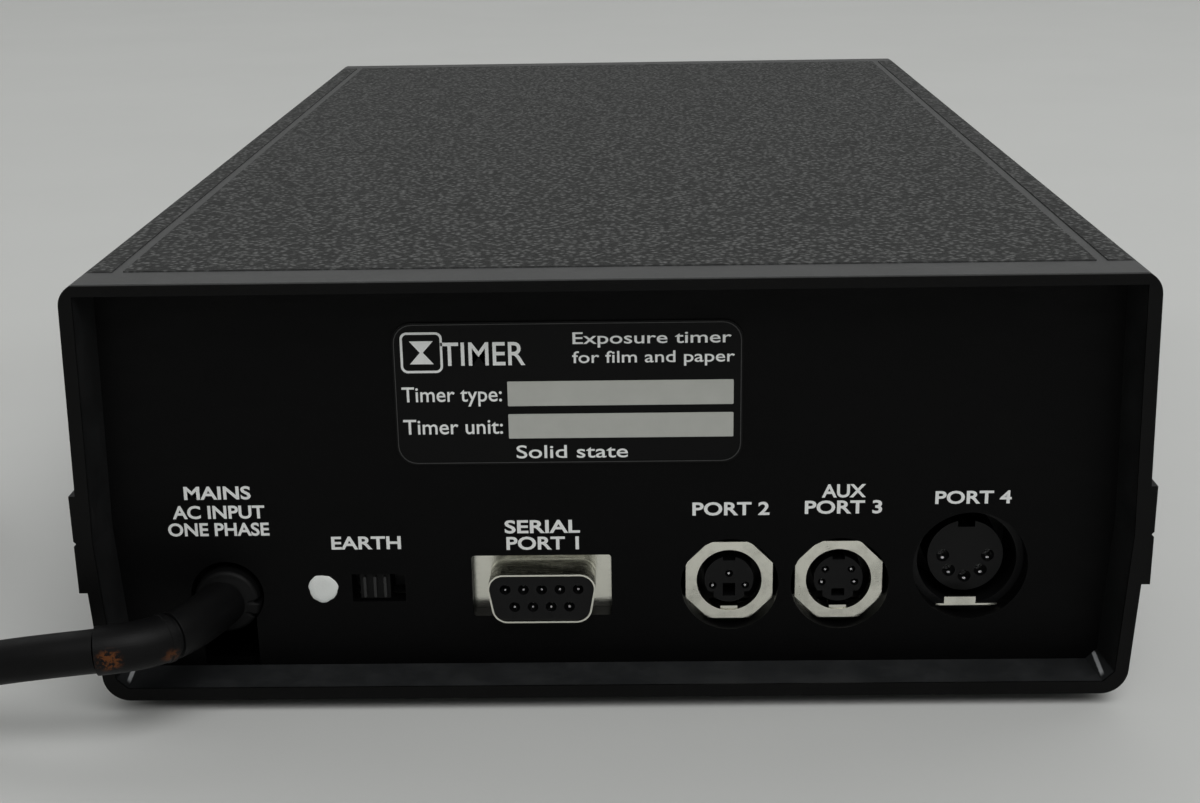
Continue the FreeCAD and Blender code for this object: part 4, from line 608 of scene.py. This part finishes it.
def lettering(name, words, place, high, wide, lay, material, heavy=0.032):
    """Printed words whose capitals are high tall and which are wide from end to end."""
    mesh = text_mesh(name, words, heavy)
    spread = [vertex.co.x for vertex in mesh.vertices]
    span = max(spread) - min(spread)
    middle = (max(spread) + min(spread)) / 2
    deep = INK_DEEP / TEXT_DEEP
    size = Matrix.Diagonal((wide / span, high, deep, 1.0)) @ Matrix.Translation((-middle, 0, 0))
    mesh.transform(lay(place) @ size)
    return add_piece(name, mesh, material)


def flat_shape(outline, deep, holes=()):
    """A thin slab of an outline in X and Y, with its foot at 0 and its top at deep."""
    shape = bmesh.new()
    loops = []
    for points in (outline, *holes):
        verts = [shape.verts.new((x, y, 0.0)) for x, y in points]
        loops.append([shape.edges.new((a, b)) for a, b in zip(verts, verts[1:] + verts[:1])])
    edges = [edge for loop in loops for edge in loop]
    bmesh.ops.triangle_fill(shape, use_beauty=True, edges=edges)
    grown = bmesh.ops.extrude_face_region(shape, geom=list(shape.faces))
    verts = [item for item in grown["geom"] if isinstance(item, bmesh.types.BMVert)]
    bmesh.ops.translate(shape, verts=verts, vec=(0, 0, deep))
    return shape


def rounded_outline(wide, high, radius, centre=(0.0, 0.0), steps=6):
    """The points of a rectangle with rounded corners."""
    points = []
    corners = ((1, 1, 0), (-1, 1, 90), (-1, -1, 180), (1, -1, 270))
    for side, level, start in corners:
        for step in range(steps + 1):
            angle = math.radians(start + 90 * step / steps)
            x = centre[0] + side * (wide / 2 - radius) + radius * math.cos(angle)
            y = centre[1] + level * (high / 2 - radius) + radius * math.sin(angle)
            points.append((x, y))
    return points


def circle_outline(radius, steps):
    """The points of a circle."""
    angles = [2 * math.pi * step / steps for step in range(steps)]
    return [(radius * math.cos(angle), radius * math.sin(angle)) for angle in angles]


def join_rings(shape, rings, ends=(0, -1)):
    """Covers the rings of vertices at these ends, and joins each ring to the next."""
    for end in ends:
        shape.faces.new(rings[end])
    for first, second in zip(rings, rings[1:]):
        for step in range(len(first)):
            after = (step + 1) % len(first)
            shape.faces.new((first[step], second[step], second[after], first[after]))


def smooth_line(route, name, steps):
    """Points along the smooth curve that a route steers, read from its own NURBS spline."""
    curve = nurbs_curve(name, route)
    curve.splines[0].resolution_u = steps
    return [vertex.co.copy() for vertex in curve_mesh(curve).vertices]


def nurbs_curve(name, route):
    """One open NURBS spline with the route's points as its control points."""
    curve = bpy.data.curves.new(name, "CURVE")
    curve.dimensions = "3D"
    spline = curve.splines.new("NURBS")
    spline.points.add(len(route) - 1)
    for point, place in zip(spline.points, route):
        point.co = (*place, 1.0)
    spline.order_u = 3
    spline.use_endpoint_u = True
    return curve


def swept(line, radius_at, sides):
    """A closed tube round a line, whose radius depends on the distance along it and the angle round it."""
    shape = bmesh.new()
    rings = []
    along = 0.0
    upright = Vector((0, 0, 1))
    for index, point in enumerate(line):
        before = line[max(index - 1, 0)]
        after = line[min(index + 1, len(line) - 1)]
        forward = (after - before).normalized()
        side = forward.cross(upright).normalized()
        lift = side.cross(forward)
        if index:
            along += (point - line[index - 1]).length
        ring = []
        for step in range(sides):
            angle = 2 * math.pi * step / sides
            reach = radius_at(along, angle)
            ring.append(shape.verts.new(point + reach * (math.cos(angle) * side + math.sin(angle) * lift)))
        rings.append(ring)
    join_rings(shape, rings)
    return shape


# ---------------- cord, strain relief and plug

def coil_route():
    """The coil's turns: clockwise inward on the table, then outward again on top of them."""
    points = []
    count = round(COIL_TURNS * POINTS_PER_TURN)
    step_angle = 2 * math.pi / POINTS_PER_TURN
    shrink = (3 + math.cos(step_angle)) / 4
    for layer, level in ((0, COIL_LOW), (1, COIL_HIGH)):
        for step in range(count):
            turn = step / POINTS_PER_TURN
            inward = turn if layer == 0 else COIL_TURNS - turn
            radius = (COIL_OUTER - COIL_PITCH * inward) / shrink
            angle = COIL_START - 2 * math.pi * (turn + layer * COIL_TURNS)
            points.append((
                COIL_CENTRE[0] + radius * math.cos(angle),
                COIL_CENTRE[1] + radius * math.sin(angle),
                level,
            ))
    return points


def make_cord(material):
    """The mains cord: one curve from the sleeve's tip through the coil to the plug."""
    route = (*CORD_ROUTE, *coil_route(), *CORD_END_ROUTE)
    curve = nurbs_curve("mains_cord", route)
    curve.splines[0].resolution_u = 10
    curve.bevel_depth = CORD_RADIUS
    curve.bevel_resolution = 7
    curve.use_fill_caps = True
    curve.materials.append(material)
    cord = add_object("mains_cord", curve)
    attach(cord, "case")
    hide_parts("power_cord", "power_cord_coil", "power_cord_end")


def line_length(line):
    """How long a line of points is."""
    return sum((after - before).length for before, after in zip(line, line[1:]))


def make_collar(material):
    """The strain relief's collar in the panel's hole: a rounded ring with a latch between two slots."""
    line = smooth_line(COLLAR_ROUTE, "collar_line", 40)
    length = line_length(line)
    shoulder = 0.8 * MM
    face = 0.3 * MM
    latch_from, latch_to, half_slot = math.radians(180), math.radians(208), math.radians(2.6)

    def radius_at(along, angle):
        """The ring's own radius, less its slots, rounded over to a face that slopes in to the sleeve."""
        reach = COLLAR_RADIUS
        if min(abs(angle - latch_from), abs(angle - latch_to)) < half_slot:
            reach -= 0.6 * MM
        elif latch_from < angle < latch_to:
            reach += 0.2 * MM
        left = length - along
        if left > face + shoulder:
            return reach
        rounded = 1 - min((left - face) / shoulder, 1.0) if left > face else 1.0
        reach -= shoulder * (1 - math.sqrt(max(1 - rounded ** 2, 0.0)))
        if left > face:
            return reach
        return COLLAR_MOUTH + (reach - COLLAR_MOUTH) * left / face

    mesh = mesh_of(swept(line, radius_at, 144), "relief_collar", smooth=True)
    collar = add_piece("relief_collar", mesh, material)
    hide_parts("strain_relief")
    return collar


def make_sleeve(material):
    """The strain relief's smooth sleeve, from the collar down to the cord, with a cuff on the way."""
    line = smooth_line(SLEEVE_ROUTE, "sleeve_line", 48)
    groove_start = 13.6 * MM
    groove_end = groove_start + 0.7 * MM
    cuff_end = groove_start + 1.6 * MM

    def radius_at(along, angle):
        """The same all round and all along, but for a groove and the raised cuff beyond it."""
        if groove_start < along < groove_end:
            return SLEEVE_RADIUS - 0.45 * MM
        if groove_end < along < cuff_end:
            return SLEEVE_RADIUS + 0.15 * MM
        return SLEEVE_RADIUS

    mesh = mesh_of(swept(line, radius_at, 56), "relief_sleeve")
    sleeve = add_piece("relief_sleeve", mesh, material)
    soften = sleeve.modifiers.new("soften", "BEVEL")
    soften.width = 0.18 * MM
    soften.segments = 2
    soften.limit_method = "ANGLE"
    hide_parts("strain_relief")
    return sleeve


def make_plug(material):
    """The moulded plug: a waisted grip with a narrow tail that the cord comes out of."""
    low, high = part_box("plug_body")
    middle, level = middle_of("plug_body")
    half = (high.x - low.x) / 2
    # Share of the way from the tail to the face, and shares of the half width across and upward.
    stations = (
        (0.0, 0.30, 0.30), (0.03, 0.34, 0.34), (0.26, 0.44, 0.44), (0.40, 0.56, 0.54), (0.47, 0.80, 0.72),
        (0.52, 0.92, 0.86), (0.60, 0.97, 0.92), (0.72, 0.90, 0.84), (0.84, 0.94, 0.90), (0.95, 1.0, 1.0),
        (0.985, 1.0, 1.0), (1.0, 0.95, 0.95),
    )
    shape = bmesh.new()
    rings = []
    for share, wide, tall in stations:
        squareness = 2 + 3.0 * max(0.0, min((share - 0.4) / 0.2, 1.0))
        y = high.y + (low.y - high.y) * share
        ring = []
        for c, s in circle_outline(1.0, 40):
            x = half * wide * math.copysign(abs(c) ** (2 / squareness), c)
            z = half * tall * math.copysign(abs(s) ** (2 / squareness), s)
            ring.append(shape.verts.new((middle + x, y, level + z)))
        rings.append(ring)
    join_rings(shape, rings)
    plug = add_piece("moulded_plug", mesh_of(shape, "moulded_plug", smooth=True), material)
    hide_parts("plug_body")
    return plug


def make_tie(material):
    """A strap round the coil that holds the put-away cord."""
    low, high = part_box("power_cord_coil")
    inner = COIL_OUTER - COIL_PITCH * COIL_TURNS - CORD_RADIUS - 0.4 * MM
    outer = COIL_OUTER + CORD_RADIUS + 0.2 * MM
    wide = outer - inner
    tall = high.z - low.z
    middle = ((inner + outer) / 2, tall / 2)
    both_walls = 1.6 * MM
    strap_wide = 9 * MM
    band = rounded_outline(wide, tall, 3.4 * MM, middle, steps=8)
    hole = rounded_outline(wide - both_walls, tall - both_walls, 2.8 * MM, middle, steps=8)
    shape = flat_shape(band, strap_wide, (hole,))
    bmesh.ops.translate(shape, verts=shape.verts, vec=(0, 0, -strap_wide / 2))
    mesh = mesh_of(shape, "coil_strap")
    turn = Matrix.Rotation(math.radians(20), 4, "Z")
    lay = Matrix(((1, 0, 0, 0), (0, 0, 1, 0), (0, 1, 0, 0), (0, 0, 0, 1)))
    mesh.transform(Matrix.Translation((*COIL_CENTRE, 0)) @ turn @ lay)
    return add_piece("coil_strap", mesh, material)


# ---------------- printing on the rear

# Words, middle (x, z) of their foot, height of the capitals and whole width, all in millimetres.
REAR_LEGENDS = (
    ("MAINS", (59.35, 31.9), 2.1, 10.1),
    ("AC INPUT", (59.4, 28.8), 2.1, 14.0),
    ("ONE PHASE", (59.6, 26.0), 2.1, 15.4),
    ("EARTH", (37.3, 23.6), 2.1, 10.6),
    ("SERIAL", (10.45, 26.0), 2.1, 11.4),
    ("PORT 1", (10.45, 23.3), 2.1, 11.0),
    ("PORT 2", (-18.05, 28.6), 2.1, 11.6),
    ("AUX", (-34.95, 31.3), 2.1, 6.6),
    ("PORT 3", (-34.95, 28.7), 2.1, 11.6),
    ("PORT 4", (-54.35, 30.1), 2.05, 11.4),
)


def make_rear_legends(material):
    """The white legends over the sockets, the switch and the cord."""
    for words, (x, z), high, wide in REAR_LEGENDS:
        name = "legend_" + "".join(letter for letter in words.lower() if letter.isalnum())
        lettering(name, words, (x * MM, z * MM), high * MM, wide * MM, rear_print, material)


def make_paint_dot(material):
    """The dab of white paint beside the earth switch, with an uneven edge."""
    steps = 40
    radius = 2.25 * MM
    profile = []
    for step in range(steps):
        angle = 2 * math.pi * step / steps
        ragged = 1 + 0.035 * math.sin(3 * angle + 0.6)
        ragged += 0.02 * math.sin(7 * angle) + 0.012 * math.sin(13 * angle)
        profile.append((radius * ragged * math.cos(angle), radius * ragged * math.sin(angle)))
    shape = bmesh.new()
    rings = []
    for share, rise in ((1.0, -0.02), (1.0, 0.04), (0.93, 0.10), (0.6, 0.14), (0.25, 0.12)):
        rings.append([shape.verts.new((x * share, y * share, rise * MM)) for x, y in profile])
    join_rings(shape, rings)
    mesh = mesh_of(shape, "paint_dot", smooth=True)
    mesh.transform(rear_print(DOT_PLACE))
    add_piece("paint_dot", mesh, material)


def plate_print(place):
    """Lays flat work on the rating plate, at a place measured from its middle."""
    middle = (PLATE_LOW + PLATE_HIGH) / 2
    return rear_print((middle.x - place[0], middle.z + place[1]), PLATE_HIGH.y)


def slab(name, outline, lay, material, holes=(), deep=INK_DEEP, body="case"):
    """A thin printed or raised slab of an outline."""
    mesh = mesh_of(flat_shape(outline, deep, holes), name)
    mesh.transform(lay)
    return add_piece(name, mesh, material, body)


# Piece name, words, middle of their foot from the plate's middle, height and width, in millimetres.
PLATE_WORDS = (
    ("plate_name", "TIMER", (-12.4, 4.5), 3.7, 12.4),
    ("plate_line_1", "Exposure timer", (12.4, 7.6), 1.85, 23.2),
    ("plate_line_2", "for film and paper", (12.6, 4.7), 1.85, 23.8),
    ("plate_type", "Timer type:", (-17.2, -1.05), 2.4, 14.8),
    ("plate_unit", "Timer unit:", (-17.2, -6.1), 2.4, 14.8),
    ("plate_foot", "Solid state", (0.4, -10.0), 2.1, 16.6),
)


def make_plate(light, blank, faint):
    """The rating plate's printing: border, hourglass in a square, plain words and two blank fields."""
    wide = PLATE_HIGH.x - PLATE_LOW.x
    high = PLATE_HIGH.z - PLATE_LOW.z
    outer = rounded_outline(wide - 0.5 * MM, high - 0.5 * MM, 2.8 * MM)
    inner = rounded_outline(wide - 0.75 * MM, high - 0.75 * MM, 2.7 * MM)
    slab("plate_border", outer, plate_print((0, 0)), faint, (inner,), deep=0.03 * MM)
    field = rounded_outline(33.3 * MM, 3.8 * MM, 0.15 * MM)
    slab("plate_field_type", field, plate_print((7.7 * MM, 0.05 * MM)), blank)
    slab("plate_field_unit", field, plate_print((7.7 * MM, -5.0 * MM)), blank)

    badge = (-21.4 * MM, 6.5 * MM)
    square = rounded_outline(6.2 * MM, 6.2 * MM, 1.0 * MM)
    within = rounded_outline(5.5 * MM, 5.5 * MM, 0.7 * MM)
    slab("badge_frame", square, plate_print(badge), light, (within,))
    bulb = 1.75 * MM
    neck = 0.22 * MM
    glass = ((-bulb, -bulb), (bulb, -bulb), (neck, 0), (bulb, bulb), (-bulb, bulb), (-neck, 0))
    slab("badge_hourglass", glass, plate_print(badge), light)

    for name, words, (x, z), high, wide in PLATE_WORDS:
        lettering(name, words, (x * MM, z * MM), high * MM, wide * MM, plate_print, light, 0.01)


def make_slider_ridges(material):
    """Three thin upright ridges on the slide switch's knob, in a paler plastic that is a painted highlight on
    their crests.
    """
    low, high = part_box("ground_switch_slider")
    middle, level = middle_of("ground_switch_slider")
    pitch = 1.55 * MM
    outline = rounded_outline(0.42 * MM, (high.z - low.z) - 0.7 * MM, 0.2 * MM)
    for index in range(3):
        lay = rear_print((middle + (index - 1) * pitch, level), high.y - 0.1 * MM)
        slab(f"slider_ridge_{index + 1}", outline, lay, material, deep=0.55 * MM, body="ground_slider")


# Middles (x, z) of the sockets, and their contact holes from there, in millimetres.
SERIAL_MIDDLE = (10.65, 16.4)
SERIAL_PITCH = 2.77
SERIAL_ROWS = 2.84
SHUTTER_MIDDLE = (-17.95, 17.2)
SHUTTER_HOLES = ((0, 0.95), (-2.5, -1.0), (2.5, -1.0))
PHOTO_MIDDLE = (-34.7, 17.2)
PHOTO_HOLES = ((-2.0, 1.5), (2.0, 1.5), (-2.5, -0.6), (2.5, -0.6))
REMOTE_MIDDLE = (-54.4, 19.9)
REMOTE_RADIUS = 3.45


def serial_hole(index, sense):
    """The place of one of the D-shaped socket's nine holes, counted along X (1) or against it (-1)."""
    row, place = (0, index) if index < 5 else (1, index - 5)
    x = SERIAL_MIDDLE[0] + sense * (place - 2 + row / 2) * SERIAL_PITCH
    return x, SERIAL_MIDDLE[1] + (0.5 - row) * SERIAL_ROWS


def make_contact_tips(material):
    """The bright spring leaves that show in each contact hole of the round and D-shaped sockets."""
    serial_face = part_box("serial_insert")[1].y - 0.5 * MM
    mini_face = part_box("photo_socket_body")[1].y - 0.45 * MM
    remote_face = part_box("remote_socket_body")[1].y - 1.2 * MM
    # Each leaf's name, x, z and width in millimetres, and how far out along Y it reaches in metres.
    spots = []
    for index in range(9):
        x, z = serial_hole(index, 1)
        spots.append(("serial", x, z - 0.42, 0.30, serial_face))
    minis = (("shutter", SHUTTER_MIDDLE, SHUTTER_HOLES), ("photo", PHOTO_MIDDLE, PHOTO_HOLES))
    for name, middle, holes in minis:
        for across, up in holes:
            spots.append((name, middle[0] + across, middle[1] + up - 0.40, 0.36, mini_face))
    for step in range(5):
        angle = math.radians(180 + 45 * step)
        x = REMOTE_MIDDLE[0] + REMOTE_RADIUS * math.cos(angle)
        z = REMOTE_MIDDLE[1] + REMOTE_RADIUS * math.sin(angle)
        spots.append(("remote_low", x - 0.05, z - 0.74, 0.5, remote_face - 0.4 * MM))
        spots.append(("remote_high", x + 0.1, z + 0.80, 0.32, remote_face - 0.2 * MM))
    deep = 0.5 * MM
    tilt = Matrix.Rotation(math.radians(-25), 4, "X")
    for index, (name, x, z, wide, front) in enumerate(spots):
        outline = rounded_outline(wide * MM, 0.3 * MM, 0.14 * MM, steps=4)
        lay = rear_print((x * MM, z * MM), front - deep) @ tilt
        slab(f"{name}_leaf_{index + 1}", outline, lay, material, deep=deep)


def make_contact_numbers(material):
    """The small raised numbers moulded under each contact hole of the D-shaped socket."""
    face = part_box("serial_insert")[1].y
    below = 1.75
    size = Matrix.Diagonal((0.7 * MM, 0.7 * MM, 4 * MM, 1.0))
    for index in range(9):
        x, z = serial_hole(index, -1)
        mesh = text_mesh(f"contact_number_{index + 1}", str(index + 1), 0.0)
        mesh.transform(rear_print((x * MM, (z - below) * MM), face) @ size)
        add_piece(f"contact_number_{index + 1}", mesh, material)


# ---------------- front panel

def segment_outline(length, half, upright):
    """A seven-segment bar: a long hexagon, lying or upright."""
    points = [(-length / 2, 0), (-length / 2 + half, half), (length / 2 - half, half), (length / 2, 0)]
    points += [(length / 2 - half, -half), (-length / 2 + half, -half)]
    return [(y, x) for x, y in reversed(points)] if upright else points


SEGMENTS = {
    "top": ((0.0, 1.0), False), "middle": ((0.0, 0.0), False), "bottom": ((0.0, -1.0), False),
    "upper_left": ((-1.0, 0.5), True), "upper_right": ((1.0, 0.5), True),
    "lower_left": ((-1.0, -0.5), True), "lower_right": ((1.0, -0.5), True),
}
DIGITS = {
    "0": ("top", "bottom", "upper_left", "upper_right", "lower_left", "lower_right"),
    "1": ("upper_right", "lower_right"),
    "2": ("top", "upper_right", "middle", "lower_left", "bottom"),
    "5": ("top", "upper_left", "middle", "lower_right", "bottom"),
}
READING = "012.5"


def make_digits(lit, dark):
    """The seven-segment digits on the face of the display, some lit and the rest dark."""
    low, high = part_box("display_digits")
    level = (low.z + high.z) / 2
    reach = 2.9 * MM
    deep = 0.06 * MM
    lean = Matrix(((1, 0.12, 0, 0), (0, 1, 0, 0), (0, 0, 1, 0), (0, 0, 0, 1)))
    dot = circle_outline(0.6 * MM, 16)
    digits = [letter for letter in READING if letter != "."]
    cell = (high.x - low.x) / len(digits)
    for place, letter in enumerate(digits):
        x = low.x + cell * (place + 0.5)
        for name, ((across, rise), upright) in SEGMENTS.items():
            outline = segment_outline(2 * reach - 0.5 * MM, 0.55 * MM, upright)
            middle = Matrix.Translation((across * reach, rise * 2 * reach, 0))
            lay = front_print((x, level), low.y) @ lean @ middle
            glow = lit if name in DIGITS[letter] else dark
            slab(f"digit_{place + 1}_{name}", outline, lay, glow, deep=deep)
        lay = front_print((x + reach + 1.7 * MM, level - 2 * reach), low.y)
        glow = lit if READING.index(".") == place + 1 else dark
        slab(f"digit_{place + 1}_point", dot, lay, glow, deep=deep)


def make_dial(material):
    """The scale round the time knob, from 0 to 10 over its turn of 300 degrees."""
    low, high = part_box("time_knob")
    centre = Vector(middle_of("time_knob"))
    skirt = (high.x - low.x) / 2
    sweep = 300
    last = 20
    for mark in range(last + 1):
        angle = math.radians(90 + sweep / 2 - sweep * mark / last)
        major = mark % 2 == 0
        inner = skirt + 0.9 * MM
        outer = inner + (1.7 if major else 1.0) * MM
        half = (0.16 if major else 0.11) * MM
        outline = [(inner, -half), (outer, -half), (outer, half), (inner, half)]
        lay = front_print(centre) @ Matrix.Rotation(angle, 4, "Z")
        slab(f"dial_mark_{mark:02d}", outline, lay, material)
        if major:
            reach = skirt + 4.3 * MM
            place = centre + Vector((reach * math.cos(angle), reach * math.sin(angle) - 0.85 * MM))
            number = str(mark // 2)
            wide = {"1": 0.55 * MM, "10": 2.5 * MM}.get(number, 1.15 * MM)
            lettering(f"dial_number_{number}", number, place, 1.7 * MM, wide, front_print, material)


def make_pointer(material):
    """The white line on the knob's face, beside its cap, that points at the scale."""
    cap_low, cap_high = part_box("knob_cap")
    cap = (cap_high.x - cap_low.x) / 2
    outline = rounded_outline(0.9 * MM, 3.0 * MM, 0.2 * MM, (0, cap + 2.0 * MM))
    lay = front_print(middle_of("time_knob"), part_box("time_knob")[0].y)
    slab("knob_pointer", outline, lay, material, deep=0.06 * MM, body="time_knob")


# Piece name, words, CAD node, height of their foot over its top or under its bottom (below 0), height
# of the capitals and whole width, in millimetres.
FRONT_LEGENDS = (
    ("legend_focus", "FOCUS", "focus_button", -3.2, 1.9, 9.2),
    ("legend_start", "START", "start_button", -3.2, 1.9, 9.0),
    ("legend_reset", "RESET", "reset_button", -3.2, 1.9, 9.0),
    ("legend_time", "SECONDS", "time_knob", -6.6, 1.9, 13.0),
    ("legend_display", "TIME", "display_window", 1.7, 1.9, 8.0),
    ("legend_power", "POWER", "power_switch_body", 1.8, 1.7, 7.8),
)


def make_front_legends(material):
    """The white legends on the front panel, over or under each control."""
    for name, words, node, rise, high, wide in FRONT_LEGENDS:
        bottom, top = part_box(node)
        foot = (bottom.z if rise < 0 else top.z) + rise * MM
        place = (middle_of(node)[0], foot)
        lettering(name, words, place, high * MM, wide * MM, front_print, material)


def make_rocker_marks(material):
    """The line and ring moulded on the rocker's two ends."""
    middle, level = middle_of("power_rocker")
    rocker = frame["nodes"]["power_rocker"].data.vertices
    away = 4.6 * MM
    bar = rounded_outline(0.5 * MM, 2.6 * MM, 0.2 * MM)
    ring = circle_outline(1.3 * MM, 32)
    hole = [(x * 0.68, y * 0.68) for x, y in ring]
    for name, outline, holes, rise in (("rocker_line", bar, (), away), ("rocker_ring", ring, (hole,), -away)):
        place = (middle, level + rise)
        face = min(vertex.co.y for vertex in rocker if abs(vertex.co.z - level - rise) < 3.0 * MM)
        slab(name, outline, front_print(place, face), material, holes, 0.25 * MM, "power_rocker")


# ---------------- the whole timer

def build():
    """Dresses the CAD nodes, adds the Blender pieces and sets the scene."""
    scene = bpy.context.scene
    scene.view_settings.view_transform = "Standard"
    materials = slot_materials()
    dress_nodes(materials)
    frame["nodes"]["serial_shell"].material_slots[0].material = shell_finish()
    ink = plain_finish("legend_ink", (0.80, 0.81, 0.80), 0.6, mottle=0.06, mottle_size=2, grain=0.2)
    blank = plain_finish("blank_field", (0.43, 0.435, 0.405), 0.5, mottle=0.07, mottle_size=3, grain=0.3)
    faint = plain_finish("plate_edge", (0.024, 0.024, 0.024), 0.4, mottle=0.3, mottle_size=4)
    paint = plain_finish(
        "white_paint", (0.76, 0.78, 0.76), 0.45, mottle=0.04, mottle_size=1.5, grain=0.3, deep=0.03,
    )
    # Pale plastic for the slide switch's ridges: a painted highlight where their crests catch the light.
    ridge_glint_plastic = plain_finish("ridge_glint_plastic", (0.011, 0.011, 0.011), 0.5, mottle=0.3, mottle_size=1.2)
    webbing = plain_finish("strap_weave", (0.012, 0.012, 0.013), 0.85, grain=0.6, deep=0.12)
    lit = lamp_finish("segment_lit", (0.95, 0.05, 0.02), 3.0)
    dark = plain_finish("segment_dark", (0.10, 0.03, 0.028), 0.4, mottle_size=2)

    collar = make_collar(materials["relief_rubber"])
    sleeve = make_sleeve(materials["relief_rubber"])
    plug = make_plug(materials["plug_vinyl"])
    strap = make_tie(webbing)
    make_cord(materials["cord_vinyl"])

    make_rear_legends(ink)
    make_plate(ink, blank, faint)
    make_paint_dot(paint)
    make_slider_ridges(ridge_glint_plastic)
    make_contact_numbers(materials["socket_plastic"])
    make_contact_tips(materials["contact_metal"])

    make_digits(lit, dark)
    make_dial(ink)
    make_pointer(paint)
    make_front_legends(ink)
    make_rocker_marks(ink)

    make_backdrop()
    make_world()
    soft_light("front_key", (-0.45, 1.0, 1.35), (-0.05, 0.15, 0.0), 1.6, 1.2, 17)
    soft_light("far_fill", (0.0, -1.3, 1.6), (0.0, -1.0, 0.0), 2.4, 1.4, 8)
    for side in (-1, 1):
        soft_light(f"far_side_{side + 2}", (1.7 * side, -0.9, 1.2), (1.1 * side, -0.7, 0.0), 1.0, 1.4, 4)
    make_camera()


build()
